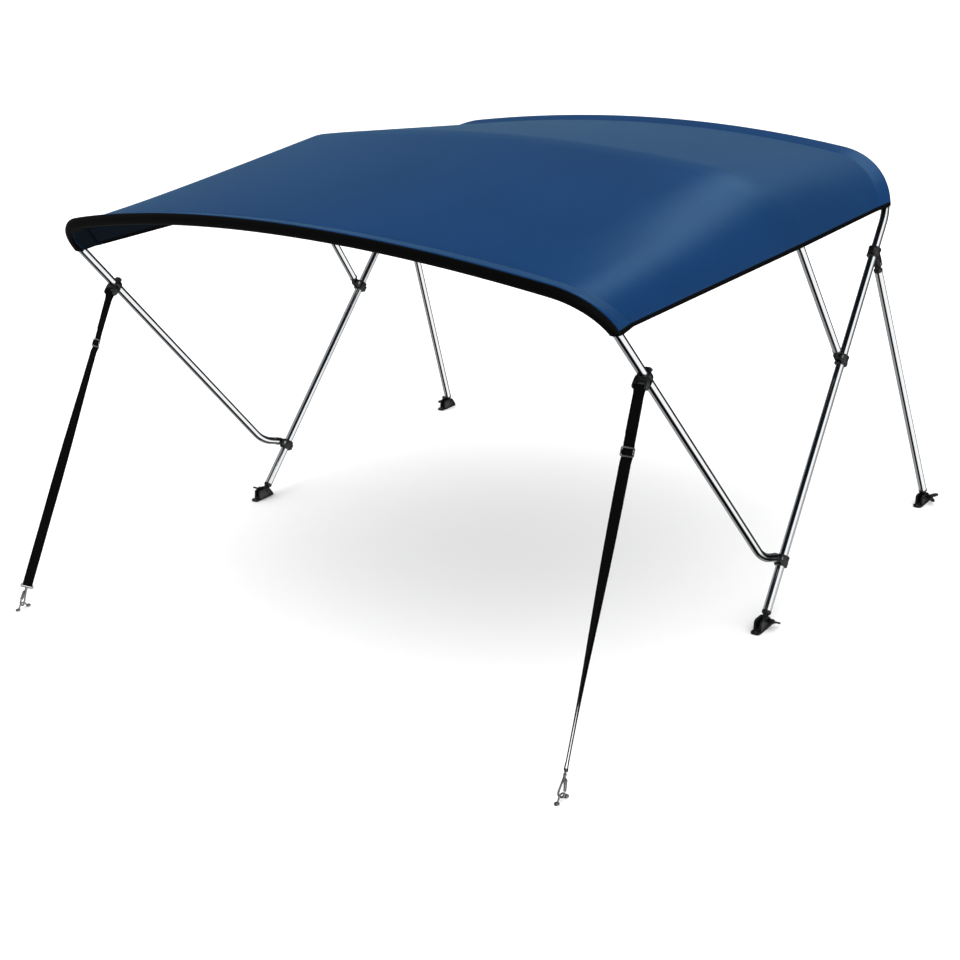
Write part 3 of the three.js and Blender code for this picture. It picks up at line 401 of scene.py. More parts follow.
def black_tape():
    """Black woven polyester tape, folded over the edge and sewn beside its inner fold."""
    def edge(node, split):
        return [stitch_row(node, split["X"], split["Y"], TAPE_SEAM)]

    return woven_cloth("black_binding_tape", bpy.context.scene.bimini_cloth.tape_colour, edge, DULL)


def ribbed_webbing():
    """Black polypropylene webbing: coarse ribs slanting across it, with a faint shine on each."""
    node, finish = new_material("ribbed_black_webbing")
    uv = node("ShaderNodeUVMap", {"uv_map": "cloth"})
    split = node("ShaderNodeSeparateXYZ", inputs={"Vector": uv}).outputs
    across, along = [
        node("ShaderNodeMath", {"operation": "MULTIPLY"}, {0: split[axis], 1: math.tau / RIB_PITCH})
        for axis in ("X", "Y")
    ]
    slant = node("ShaderNodeMath", {"operation": "ADD"}, {0: across, 1: along})
    wave = node("ShaderNodeMath", {"operation": "SINE"}, {0: slant})
    bump = node("ShaderNodeBump", inputs={"Height": wave, "Strength": 0.5, "Distance": 0.0004})
    return finish({"Base Color": (*bpy.context.scene.bimini_cloth.webbing_colour, 1),
                   "Roughness": 0.7, "Specular IOR Level": 0.08, "Normal": bump})


def studio_floor():
    """Seamless white paper."""
    _, finish = new_material("studio_floor_paper")
    return finish({"Base Color": linear("#f4f4f4"), "Roughness": 0.9, "Specular IOR Level": 0})


def colour_setting(name, description, hex_colour):
    """A colour that the user can change in the panel."""
    return FloatVectorProperty(name=name, description=description, subtype="COLOR", min=0, max=1,
                               default=linear(hex_colour)[:3])


class BIMINI_PG_cloth(bpy.types.PropertyGroup):
    """Cloth, tape, thread and webbing"""

    canopy_colour: colour_setting("Canopy", "Dyed face of the canopy cloth", "#062d57")
    # The underside colour is also painted shade on the pockets' lower layers.
    underside_and_shade_colour: colour_setting("Underside", "Coated back of the canopy cloth", "#08131d")
    tape_colour: colour_setting("Binding", "Front facing and side bindings", "#030303")
    webbing_colour: colour_setting("Webbing", "Hold-down straps", "#040404")
    thread_colour: colour_setting("Thread", "Stitches in the cloth and the tape", "#0c1622")
    thickness: FloatProperty(
        name="Cloth thickness", description="Thickness of the canopy cloth", default=0.0012,
        min=0.0004, max=0.0015, precision=4, unit="LENGTH")


class BIMINI_PG_metal(bpy.types.PropertyGroup):
    """Tubes and fittings"""

    tube_colour: colour_setting("Tube", "Polished stainless steel of the bows", "#e6e8ea")
    steel_colour: colour_setting("Steel", "Screws, hooks and eye straps", "#96989a")
    nylon_colour: colour_setting("Nylon", "Moulded hinges, slides and knobs", "#0c0d0e")
    tube_roughness: FloatProperty(
        name="Tube roughness", description="0 is a perfect mirror", default=0.09, min=0, max=0.6)
    tube_sides: IntProperty(
        name="Tube sides", description="Facets round each tube", default=32, min=12, max=96)


class BIMINI_PG_stage(bpy.types.PropertyGroup):
    """Studio and camera"""

    brightness: FloatProperty(
        name="Room brightness", description="White light from all round", default=2.0, min=0,
        max=5)
    lens: FloatProperty(
        name="Lens", description="Focal length in millimetres", default=60.546, min=20, max=200)


# The one material that each maker function has made, so that it is made only once.
MATERIALS = {}


def material(make):
    """The one material that a maker function gives."""
    if make not in MATERIALS:
        MATERIALS[make] = make()
    return MATERIALS[make]


# Mesh helpers

def local_frame(origin, x_axis, z_axis):
    """Matrix that stands a mesh at origin, its Z along z_axis and its X near x_axis."""
    z = z_axis.normalized()
    x = (x_axis - z * x_axis.dot(z)).normalized()
    y = z.cross(x)
    matrix = Matrix((x, y, z)).transposed().to_4x4()
    matrix.translation = origin
    return matrix


def finish_piece(bm, name, make_material, node="", matrix=Matrix(), body=ROOT, smooth_angle=35):
    """Turns a bmesh in millimetres into a piece on its body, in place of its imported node."""
    bm.transform(matrix)
    bm.transform(Matrix.Scale(MM, 4) @ Matrix.Translation((0, SHIFT_Y, 0)))
    mesh = bpy.data.meshes.new(name)
    bm.to_mesh(mesh)
    bm.free()
    mesh.materials.append(material(make_material))
    piece = bpy.data.objects.new(name, mesh)
    bpy.context.scene.collection.objects.link(piece)
    mesh.shade_smooth()
    mesh.set_sharp_from_angle(angle=math.radians(smooth_angle))
    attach(piece, body)
    if node:
        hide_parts(node)
    return piece


def sweep(bm, path, radius, segments):
    """Round bar along a path: a disc extruded from point to point."""
    tangents = []
    for index, point in enumerate(path):
        before = path[max(index - 1, 0)]
        after = path[min(index + 1, len(path) - 1)]
        tangents.append((after - before).normalized())
    normal = tangents[0].orthogonal().normalized()
    disc = bmesh.ops.create_circle(bm, cap_ends=True, radius=radius, segments=segments)
    corners = disc["verts"]
    face = corners[0].link_faces[0]
    pose = Matrix.Identity(4)
    for index, (point, tangent) in enumerate(zip(path, tangents)):
        if index:
            normal = (normal - tangent * normal.dot(tangent)).normalized()
            grown = bmesh.ops.extrude_face_region(bm, geom=[face])["geom"]
            corners = [item for item in grown if isinstance(item, bmesh.types.BMVert)]
            face = next(item for item in grown if isinstance(item, bmesh.types.BMFace))
        target = local_frame(point, normal, tangent)
        bmesh.ops.transform(bm, matrix=target @ pose.inverted(), verts=corners)
        pose = target
    bmesh.ops.recalc_face_normals(bm, faces=bm.faces)


# Cloth. Every piece of cloth is a grid whose rows and columns follow the bows.

class Roll:
    """Where the cloth goes over a bow: its centre, the way along the cloth, square to the bow and
    in line with the panel (skew), and the way out."""

    def __init__(self, place, along):
        point, tangent, normal = place
        tangent = tangent.normalized()
        self.centre = point
        self.along = (along - tangent * along.dot(tangent)).normalized()
        self.skew = along / along.dot(self.along)
        out = tangent.cross(self.along)
        self.out = out if out.dot(normal) > 0 else -out

    def at(self, degrees, radius, sign):
        """Point round the roll, by its angle from straight out."""
        angle = degrees * DEGREE
        return (
            self.centre
            + self.out * radius * math.cos(angle)
            + self.along * sign * radius * math.sin(angle)
        )


EDGE_LEAN = 0.95


def rolls_at(share, side, inset=0.0):
    """The rolls over the three bows, at a share of the way from the crown to the side edge."""
    places = [bow.at(share * (bow.cloth_half - inset), side)
              for bow in (front_bow, middle_bow, main_bow)]
    front_run = places[1][0] - places[0][0]
    rear_run = places[2][0] - places[1][0]
    rolls = (
        Roll(places[0], front_run),
        Roll(places[1], front_run),
        Roll(places[1], rear_run),
        Roll(places[2], rear_run),
    )
    # Near the side, the rolls turn until they end in line with the panels' side edge.
    end = max(0, (share - EDGE_LEAN) / (1 - EDGE_LEAN))
    for roll in rolls:
        roll.along = roll.along.lerp(roll.skew, end)
    return rolls


# The pocket's two layers leave the roll on tangents and meet at the seam.
BAND_SLOPE = math.asin(CLOTH_MIDDLE / POCKET_DEPTH)
SEAM_UNDER = CLOTH_ROOM / 2 + GAP
POCKET_SLOPE = (
    math.asin(CLOTH_INSIDE / math.hypot(POCKET_DEPTH, SEAM_UNDER))
    - math.atan2(SEAM_UNDER, POCKET_DEPTH)
)
WRAP_START = -BAND_SLOPE / DEGREE
WRAP_END = 180 + POCKET_SLOPE / DEGREE

# Rows gather at the seam, so that it stays crisp. The panels' own rows are about 60 mm apart,
# which lets the fold over the middle bow shade as softly as the pulled cloth does.
BAND_SHARES = (0, 0.35, 0.65, 0.85, 0.95)
PANEL_SHARES = (0, 0.004, 0.012, *[step / 14 for step in range(1, 14)])


def seam_point(roll, radius, sign):
    """Where the pocket's upper layer goes over into the panel."""
    offset = radius - CLOTH_MIDDLE
    away = (CLOTH_MIDDLE + offset * (1 - math.cos(BAND_SLOPE))) / math.sin(BAND_SLOPE)
    return roll.centre - roll.skew * sign * away + roll.out * offset


def pocket_end(roll, radius, sign):
    """Where the pocket's lower layer is sewn up to the sheet."""
    layer = radius - CLOTH_INSIDE
    away = POCKET_DEPTH + layer * math.sin(POCKET_SLOPE)
    below = SEAM_UNDER + layer * math.cos(POCKET_SLOPE)
    return roll.centre - roll.skew * sign * away - roll.out * below


def roll_points(roll, radius, sign, start, end, steps):
    """Even steps round a roll, both ends included."""
    return [roll.at(start + (end - start) * step / steps, radius, sign)
            for step in range(steps + 1)]


def band(roll, radius, sign):
    """The pocket's upper layer, from the top of the roll towards its seam."""
    top = roll.at(WRAP_START, radius, sign)
    seam = seam_point(roll, radius, sign)
    return [top.lerp(seam, share) for share in BAND_SHARES]


def between_seams(rolls, radius):
    """Both panels, from the front seam over the fold at the middle bow to the rear seam."""
    front, middle_front, middle_rear, rear = rolls
    out = (middle_front.out + middle_rear.out).normalized()
    fold = middle_front.centre + out * radius
    front_seam = seam_point(front, radius, -1)
    rear_seam = seam_point(rear, radius, 1)
    ahead = [front_seam.lerp(fold, share) for share in PANEL_SHARES]
    behind = [rear_seam.lerp(fold, share) for share in PANEL_SHARES]
    return [*ahead, fold, *reversed(behind)]


def pocket(roll, radius, sign):
    """The lower layer and the way round the roll, from the sewn end to the top."""
    sewn = pocket_end(roll, radius, sign)
    tangent_point = roll.at(WRAP_END, radius, sign)
    flap = [sewn.lerp(tangent_point, step / FLAP_STEPS) for step in range(FLAP_STEPS)]
    wrap = roll_points(roll, radius, sign, WRAP_END, WRAP_START, WRAP_STEPS)
    return flap + wrap[:-1]


FLAP_STEPS = 5
WRAP_STEPS = 18
FRONT_SEAM_ROW = FLAP_STEPS + WRAP_STEPS + len(BAND_SHARES)
REAR_SEAM_ROW = FRONT_SEAM_ROW + 2 * len(PANEL_SHARES)
FOLD_ROW = FRONT_SEAM_ROW + len(PANEL_SHARES)


def cloth_line(rolls, radius):
    """One line along the cloth, from the front pocket's sewn end to the rear pocket's."""
    front, rear = rolls[0], rolls[3]
    rear_end = pocket(rear, radius, 1) + band(rear, radius, 1)
    return [
        *pocket(front, radius, -1),
        *band(front, radius, -1),
        *between_seams(rolls, radius),
        *reversed(rear_end),
    ]


def travelled(line):
    """Distance along a line of points, at each of them."""
    total = [0.0]
    for before, after in zip(line, line[1:]):
        total.append(total[-1] + (after - before).length)
    return total


def metres(line):
    """Length of a line of points, in metres."""
    return travelled(line)[-1] * MM


def cloth_grid(columns):
    """A grid laid on columns of points, with a UV map in metres across and along the cloth."""
    bm = bmesh.new()
    rows = len(columns[0])
    grid = bmesh.ops.create_grid(
        bm, x_segments=len(columns) - 1, y_segments=rows - 1, size=0.5)["verts"]
    bm.verts.ensure_lookup_table()
    ordered = sorted(grid, key=lambda vert: (round(vert.co.x, 6), round(vert.co.y, 6)))
    along = [travelled(column) for column in columns]
    across = travelled([column[rows // 2] for column in columns])
    places = {}
    for index, vert in enumerate(ordered):
        column, row = divmod(index, rows)
        vert.co = columns[column][row]
        places[vert] = (across[column] * MM, along[column][row] * MM)
    lay_uvs(bm, "cloth", places)
    return bm, ordered


def lay_uvs(bm, name, places):
    """Gives every corner of every face the UV of its vertex."""
    layer = bm.loops.layers.uv.new(name)
    for face in bm.faces:
        for loop in face.loops:
            loop[layer].uv = places[loop.vert]


def face_out(bm, from_point):
    """Turns every face of an open sheet away from a point."""
    for face in bm.faces:
        face.normal_update()
    lean = sum(
        face.normal.dot(face.calc_center_median() - from_point) * face.calc_area()
        for face in bm.faces
    )
    if lean < 0:
        bmesh.ops.reverse_faces(bm, faces=bm.faces)


def cloth_piece(bm, name, make_material, node, thickness, offset=-1, even=False):
    """Turns an open sheet into a piece of its own thickness in millimetres."""
    piece = finish_piece(bm, name, make_material, node, smooth_angle=60)
    solid = piece.modifiers.new("thickness", "SOLIDIFY")
    solid.thickness = thickness * MM
    solid.offset = offset
    solid.use_even_offset = even
    return piece


# Columns stand closer together over the corners, which begin at this share of the half width.
CORNER_SHARE = 0.55
CROWN_COLUMNS = 26
CORNER_COLUMNS = 34


def across_columns(make_column):
    """Columns right across the cloth, from the left edge to the right edge."""
    half = [CORNER_SHARE * step / CROWN_COLUMNS for step in range(CROWN_COLUMNS)]
    half += [CORNER_SHARE + (1 - CORNER_SHARE) * step / CORNER_COLUMNS
             for step in range(CORNER_COLUMNS + 1)]
    left = [make_column(share, -1) for share in reversed(half[1:])]
    return left + [make_column(share, 1) for share in half]


# Rows at each end of the canopy, on the pockets' lower layers, that take the coated back's colour
# as painted shade.
PAINTED_SHADE_ROWS = FLAP_STEPS + 2
UNDER_CANOPY = Vector((0, 80, 600))
UNDER_BINDING = Vector((0, 80, 1000))


def canopy_column(share, side):
    """One line of the canopy, whose side edge is tucked into the binding."""
    return cloth_line(rolls_at(share, side, BINDING_WIDTH - CLOTH_TUCK), CLOTH_OUTSIDE)


def mark_seams(bm, columns, ordered):
    """Second UV map: distance behind the front seam and distance before the rear seam.

    The pockets' lower layers take the coated back's darker colour as painted shade; the folded
    cloth would show its face there.
    """
    rows = len(columns[0])
    row_of = {vert: index % rows for index, vert in enumerate(ordered)}
    away = {}
    for index, vert in enumerate(ordered):
        row = row_of[vert]
        line = columns[index // rows]
        behind = (line[row] - line[FRONT_SEAM_ROW]).length
        before = (line[row] - line[REAR_SEAM_ROW]).length
        away[vert] = (
            math.copysign(behind, row - FRONT_SEAM_ROW) * MM,
            math.copysign(before, REAR_SEAM_ROW - row) * MM,
        )
    lay_uvs(bm, "seams", away)
    for face in bm.faces:
        row = min(row_of[vert] for vert in face.verts)
        # Painted shade: the faces of the pockets' lower layers get the coated back's darker
        # material.
        face.material_index = int(not PAINTED_SHADE_ROWS <= row < rows - 1 - PAINTED_SHADE_ROWS)


class BIMINI_OT_canopy(bpy.types.Operator):
    """Sews the canopy: one sheet over the three bows, with a pocket at the front and the rear"""

    bl_idname = "bimini.canopy"
    bl_label = "Canopy cloth"

    def execute(self, context):
        columns = across_columns(canopy_column)
        bm, ordered = cloth_grid(columns)
        mark_seams(bm, columns, ordered)
        face_out(bm, UNDER_CANOPY)
        width = metres([column[FOLD_ROW] for column in columns])
        length = metres(columns[len(columns) // 2])
        canopy = cloth_piece(bm, "canopy", marine_cloth, "canopy_cloth",
                             context.scene.bimini_cloth.thickness / MM)
        # Second material: the coated back, which is also painted shade on the pockets' lower
        # layers.
        canopy.data.materials.append(material(coated_back_and_painted_shade))
        canopy.modifiers["thickness"].material_offset = 1
        return {"FINISHED"}


class BIMINI_OT_bindings(bpy.types.Operator):
    """Sews the black facing on the front roll and the black binding on the side edges"""

    bl_idname = "bimini.bindings"
    bl_label = "Facing and bindings"

    def execute(self, context):
        columns = [list(line) for line in zip(*across_columns(self.facing_column))]
        bm, _ = cloth_grid(columns)
        face_out(bm, UNDER_CANOPY)
        width = metres(columns[len(columns) // 2])
        depth = metres([column[len(column) // 2] for column in columns])
        facing = cloth_piece(bm, "facing", black_tape, "front_facing", FACING_THICKNESS)
        for side, tag in SIDES:
            self.binding(side, tag)
        return {"FINISHED"}

    def facing_column(self, share, side):
        radius = CLOTH_OUTSIDE + FACING_GAP + FACING_THICKNESS
        return roll_points(rolls_at(share, side)[0], radius, -1, FACING_TO, FACING_FROM, 16)

    def binding(self, side, tag):
        radius = CLOTH_MIDDLE + BINDING_THICKNESS / 2
        columns = []
        for inset in (BINDING_WIDTH, BINDING_WIDTH / 2, 0):
            rolls = rolls_at(1, side, inset)
            front, rear = rolls[0], rolls[3]
            columns.append([
                *roll_points(front, radius, -1, BINDING_FRONT, WRAP_START, 6)[:-1],
                *band(front, radius, -1),
                *between_seams(rolls, radius),
                *reversed(band(rear, radius, 1)),
                *roll_points(rear, radius, 1, WRAP_START, BINDING_END, 14)[1:],
            ])
        bm, _ = cloth_grid(columns)
        face_out(bm, UNDER_BINDING)
        length = metres(columns[1])
        binding = cloth_piece(bm, f"binding_{tag}", black_tape, f"side_binding_{tag}",
                              BINDING_THICKNESS)
        bevel = binding.modifiers.new("soft_edge", "BEVEL")
        bevel.width = 0.7 * MM
        bevel.segments = 2


def polished_tube(name, path):
    """One tube of the frame, bent along its centre line."""
    bm = bmesh.new()
    sweep(bm, path, TUBE_RADIUS, bpy.context.scene.bimini_metal.tube_sides)
    finish_piece(bm, f"tube_{name}", polished_stainless, name)


class BIMINI_OT_bows(bpy.types.Operator):
    """Bends the three bows and the two rear poles out of polished tube"""

    bl_idname = "bimini.bows"
    bl_label = "Bows and poles"

    def execute(self, context):
        for name, bow in (("main_bow", main_bow), ("middle_bow", middle_bow)):
            foot = bow.at(bow.distance_at(TUBE_START), 1)[0]
            polished_tube(name, bow_path(bow, [foot]))
        polished_tube("front_bow", bow_path(front_bow, bent_foot()))
        ends = [rear_top + pole_down * travel for travel in (TUBE_START, pole_length - TUBE_START)]
        for side, tag in SIDES:
            polished_tube(f"rear_pole_{tag}", [mirrored(point, side) for point in ends])
        return {"FINISHED"}


# Straps. Each strap runs straight from its slide's bar to the arch of its eye strap.

strap_slide_centre, strap_leg_down, _ = front_bow.at(
    front_bow.distance_at(STRAP_DISTANCE), 1)
leg_up = -strap_leg_down
pull = ARCH_TOP - strap_slide_centre
pull = pull - leg_up * pull.dot(leg_up)
pull.x = 0
pull = (pull - leg_up * pull.dot(leg_up)).normalized()
bar_centre = strap_slide_centre + pull * STRAP_REACH
strap_up = (bar_centre - ARCH_TOP).normalized()
bail_centre = ARCH_TOP + strap_up * HOOK_LENGTH
strap_length = (bar_centre - bail_centre).length
strap_x = (OUTWARD - strap_up * strap_up.x).normalized()
strap_back = strap_up.cross(strap_x)

WEBBING_WIDTH = 25.4
WEBBING_THICKNESS = 1.3
PLY = WEBBING_THICKNESS / 2 + 0.2
BAR_RADIUS = 3
BAR_TURN = BAR_RADIUS + 1.1 + WEBBING_THICKNESS / 2
BAIL_TURN = 3.5
SPREAD = 16
ADJUSTER = {"height": 22, "bar": 3.3, "thickness": 2.2}
BEHIND = ADJUSTER["thickness"] / 2 + GAP + WEBBING_THICKNESS / 2
SECOND_PLY = BEHIND + WEBBING_THICKNESS + GAP + 0.1
TAIL_END = 102


def smooth_share(share):
    """0 to 1 with a soft start and end."""
    share = min(max(share, 0), 1)
    return share * share * (3 - 2 * share)


def strap_frame(below):
    """Centre, width direction and front direction of the webbing at a distance below the bar."""
    share = min(max(below / strap_length, 0), 1)
    first = min(share / TWIST["turned"], 1)
    second = smooth_share((share - TWIST["start"]) / (TWIST["end"] - TWIST["start"]))
    turn = (TWIST["upper"] * first + (TWIST["lower"] - TWIST["upper"]) * second) * DEGREE
    across = strap_x * math.cos(turn) + strap_back * math.sin(turn)
    front = strap_x * math.sin(turn) - strap_back * math.cos(turn)
    return bar_centre - strap_up * below, across, front


def half_turn(below, radius, down):
    """The webbing's route round a bar, as (below, front) pairs."""
    turns = [math.pi * step / 10 for step in range(11)]
    return [(below + down * radius * math.sin(turn), radius * math.cos(turn)) for turn in turns]


def run(start, end, steps):
    """Even steps of a straight run, without its last point."""
    return [tuple(a + (b - a) * step / steps for a, b in zip(start, end))
            for step in range(steps)]


def webbing_route():
    """The one strip of webbing: tail, loop over the bar, adjuster, bail and back up."""
    at = ADJUSTER_BELOW
    top = at - ADJUSTER["height"] / 2
    bottom = at + ADJUSTER["height"] / 2
    slot_top = top + ADJUSTER["bar"] + 0.6
    slot_bottom = bottom - ADJUSTER["bar"] - 0.6
    centre_bar = ADJUSTER["bar"] / 2 + 0.45
    looped = PLY + 0.4
    entry = (top - 8, -PLY)
    under = bottom + 12
    above = strap_length - SPREAD
    apart = BAIL_TURN - 1
    return [
        *run((TAIL_END, PLY), (SPREAD, looped), 16),
        (SPREAD, looped), *half_turn(0, BAR_TURN, -1), (SPREAD, -looped),
        *run((SPREAD + 4, -PLY), entry, 14),
        *run(entry, (top, -BEHIND), 3), (top, -BEHIND), (slot_top, -BEHIND),
        (at - centre_bar, BEHIND), (at + centre_bar, BEHIND),
        (slot_bottom, -BEHIND), (bottom, -BEHIND),
        *run((under, PLY), (above, apart), 48),
        (above, apart), *half_turn(strap_length, BAIL_TURN, 1),
        *run((above, -apart), (under, -PLY), 48),
        (under, -PLY), (bottom, -SECOND_PLY), (bottom - 7, 0.5 - SECOND_PLY),
    ]


class BIMINI_OT_straps(bpy.types.Operator):
    """Threads a length of webbing through each strap's slide, adjuster and snap hook"""

    bl_idname = "bimini.straps"
    bl_label = "Webbing straps"

    def execute(self, context):
        offsets = [WEBBING_WIDTH * (step / 6 - 0.5) for step in range(7)]
        frames = [(*strap_frame(below), front) for below, front in webbing_route()]
        for side, tag in SIDES:
            columns = [
                [mirrored(centre + across * offset + forward * front, side)
                 for centre, across, forward, front in frames]
                for offset in offsets
            ]
            bm, _ = cloth_grid(columns)
            length = metres(columns[len(columns) // 2])
            webbing = cloth_piece(bm, f"webbing_{tag}", ribbed_webbing, f"strap_webbing_{tag}",
                                  WEBBING_THICKNESS, offset=0, even=True)
        return {"FINISHED"}


# Fittings. Each is shaped about its own pin or tube in millimetres, then stood in its place.

AXES = {
    "x": (Vector((0, 1, 0)), Vector((0, 0, 1)), Vector((1, 0, 0))),
    "y": (Vector((1, 0, 0)), Vector((0, 0, 1)), Vector((0, 1, 0))),
    "z": (Vector((1, 0, 0)), Vector((0, 1, 0)), Vector((0, 0, 1))),
}
SHARP_EDGE = 40 * DEGREE


def both_sides(near, far):
    """A span on one side of the middle, and its mirror image."""
    return (near, far), (-far, -near)


def join_into(bm, part):
    """Adds a finished shell to a fitting."""
    mesh = bpy.data.meshes.new("shell")
    part.to_mesh(mesh)
    part.free()
    bm.from_mesh(mesh)
    bpy.data.meshes.remove(mesh)


def soften(part, rim):
    """Rounds the sharp edges."""
    edges = [edge for edge in part.edges
             if edge.is_manifold and edge.calc_face_angle() > SHARP_EDGE]
    bmesh.ops.bevel(part, geom=edges, offset=rim, segments=2, profile=0.5, affect="EDGES",
                    material=-1, clamp_overlap=True)


def slab(bm, axis, low, high, corners, rim=0.6):
    """Plate across an axis. Its outline's corners are (first, second, rounding)."""
    first, second, through = AXES[axis]
    part = bmesh.new()
    verts = [part.verts.new(first * a + second * b + through * low) for a, b, _ in corners]
    part.faces.new(verts)
    for vert, (_, _, rounding) in zip(verts, corners):
        if rounding:
            bmesh.ops.bevel(part, geom=[vert], offset=rounding, segments=2 + int(rounding),
                            profile=0.5, affect="VERTICES", material=-1)
    part.faces.ensure_lookup_table()
    grown = bmesh.ops.extrude_face_region(part, geom=[part.faces[0]])["geom"]
    moved = [item for item in grown if isinstance(item, bmesh.types.BMVert)]
    bmesh.ops.translate(part, vec=through * (high - low), verts=moved)
    bmesh.ops.recalc_face_normals(part, faces=part.faces)
    soften(part, rim)
    join_into(bm, part)


def turned(bm, axis, profile, centre=(0, 0, 0), segments=36):
    """Shape turned about an axis. Its profile is (radius, height), closed or from the axis."""
    first, _, through = AXES[axis]
    part = bmesh.new()
    verts = [part.verts.new(first * radius + through * height) for radius, height in profile]
    edges = [part.edges.new(pair) for pair in zip(verts, verts[1:])]
    if profile[0][0] > 0:
        edges.append(part.edges.new((verts[-1], verts[0])))
    bmesh.ops.spin(part, geom=verts + edges, cent=(0, 0, 0), axis=through, angle=math.tau,
                   steps=segments, use_merge=True)
    bmesh.ops.remove_doubles(part, verts=part.verts, dist=1e-4)
    bmesh.ops.recalc_face_normals(part, faces=part.faces)
    bmesh.ops.translate(part, vec=centre, verts=part.verts)
    join_into(bm, part)


def wall(radius, low, high, lip):
    """Outer side of a turned profile with rounded lips, from low to high."""
    soft = 0.3 * lip
    return [
        (radius - lip, low), (radius - soft, low + soft), (radius, low + lip),
        (radius, high - lip), (radius - soft, high - soft), (radius - lip, high),
    ]


def ring(bm, axis, inner, outer, low, high, lip=0.8, centre=(0, 0, 0)):
    """Collar round an axis."""
    turned(bm, axis, [(inner, low), *wall(outer, low, high, lip), (inner, high)], centre)


def peg(bm, axis, radius, low, high, lip=0.6, centre=(0, 0, 0)):
    """Round bar along an axis."""
    turned(bm, axis, [(0, low), *wall(radius, low, high, lip), (0, high)], centre, 28)


def socket_screw(bm, radius, low, high):
    """Round screw head along x, with a socket in its top."""
    socket = radius * 0.5
    rim = low + (high - low) * 0.55
    bottom = high - (high - low) * 0.6
    turned(bm, "x", [(0, low), (radius, low), (radius, rim), (radius * 0.8, high), (socket, high),
                     (socket, bottom), (0, bottom)], segments=24)


def smooth_path(points):
    """Catmull-Rom curve through points, in five steps from one to the next."""
    ends = [points[0] * 2 - points[1], *points, points[-1] * 2 - points[-2]]
    path = []
    for a, b, c, d in zip(ends, ends[1:], ends[2:], ends[3:]):
        for t in (0, 0.2, 0.4, 0.6, 0.8):
            path.append((
                b * 2 + (c - a) * t + (a * 2 - b * 5 + c * 4 - d) * t * t
                + (b * 3 - a - c * 3 + d) * t ** 3
            ) * 0.5)
    return [*path, points[-1]]


def eye_end_shape():
    """Plug with a collar that closes the tube and a tongue for the pin."""
    bm = bmesh.new()
    slab(bm, "x", -4, 4, [(-9, 18, 0), (-9, -9, 8.9), (9, -9, 8.9), (9, 18, 0)], rim=0.7)
    turned(bm, "z", [(0, 11), (5, 11), (9.5, 14.5), (11, 17.5), (0, 17.5)])
    peg(bm, "z", 12, 17, TUBE_START - GAP, lip=1)
    for low, high in ((3.8, 4.6), (-4.8, -4)):
        ring(bm, "x", 3.8, 6.6, low, high, lip=0.3)
    return bm


EYE_ENDS = (
    ("deck_eye_main", MAIN_PIN, main_up),
    ("deck_eye_rear", REAR_PIN, -pole_down),
    ("eye_front_bow", front_pin, Vector((-front_taper, foot_line.x, foot_line.y))),
    ("eye_middle_bow", slides["middle"]["pin"], -middle_bow.at(middle_bow.distance_at(0), 1)[1]),
    ("eye_rear_pole", rear_top, pole_down),
)


class BIMINI_OT_eye_ends(bpy.types.Operator):
    """Plugs each tube with its moulded eye end"""

    bl_idname = "bimini.eye_ends"
    bl_label = "Eye ends"

    def execute(self, context):
        for side, tag in SIDES:
            for name, pin, along in EYE_ENDS:
                place = local_frame(mirrored(pin, side), OUTWARD, mirrored(along, side))
                finish_piece(eye_end_shape(), f"moulded_{name}_{tag}", moulded_nylon,
                             f"{name}_{tag}", place)
        return {"FINISHED"}


def clamp_lugs(bm, half_width, reach, half):
    """Two lugs behind a sleeve, drawn together by a screw across the slot between them."""
    for low, high in both_sides(0.7, half_width):
        slab(bm, "x", low, high, [
            (-10, half, 0), (-10, -half, 0), (-reach, -half + 2, 3), (-reach, half - 2, 3)])


def jaw_slide_shape(reach, drop):
    """Ribbed sleeve on the bow, with lugs behind it and a jaw before it for the pin."""
    bm = bmesh.new()
    ring(bm, "z", 11.2, 16.5, -14, 14, lip=1.4)
    ring(bm, "z", 12, 17.1, -13, -9.5, lip=0.8)
    ring(bm, "z", 12, 17.1, 9.5, 13, lip=0.8)
    clamp_lugs(bm, 7, 24, 11)
    tip = 9.5
    for cheek, boss in zip(both_sides(5.5, 10.5), both_sides(10, 11.1)):
        slab(bm, "x", *cheek, [
            (0, 11, 0), (0, -11, 0), (reach * 0.55, -11 - drop * 0.75, 2),
            (reach + tip, -drop - tip, tip - 0.1), (reach + tip, tip - drop, tip - 0.1),
            (reach * 0.55, 11 - drop * 0.35, 2)], rim=0.9)
        ring(bm, "x", 5.6, 7.6, *boss, lip=0.4, centre=(0, reach, -drop))
    slab(bm, "x", -6, 6, [(8, 10, 0), (8, -10, 0), (15.5, -9, 2), (15.5, 9, 2)])
    return bm


def jaw_pin_shape():
    """Bolt with a round socket head outboard and a nut inboard."""
    bm = bmesh.new()
    peg(bm, "x", 3, -13.5, 11, lip=0.4)
    socket_screw(bm, 5.4, 10.8, 14)
    turned(bm, "x", [(0, -14.6), (4.6, -14.6), (5.2, -14.2), (5.2, -11.2), (4.6, -10.8),
                     (0, -10.8)], segments=6)
    return bm


def clamp_screw_shape():
    """Screw that draws two lugs together."""
    bm = bmesh.new()
    peg(bm, "x", 2, -6, 6.5)
    socket_screw(bm, 3.6, 6.6, 9.6)
    return bm


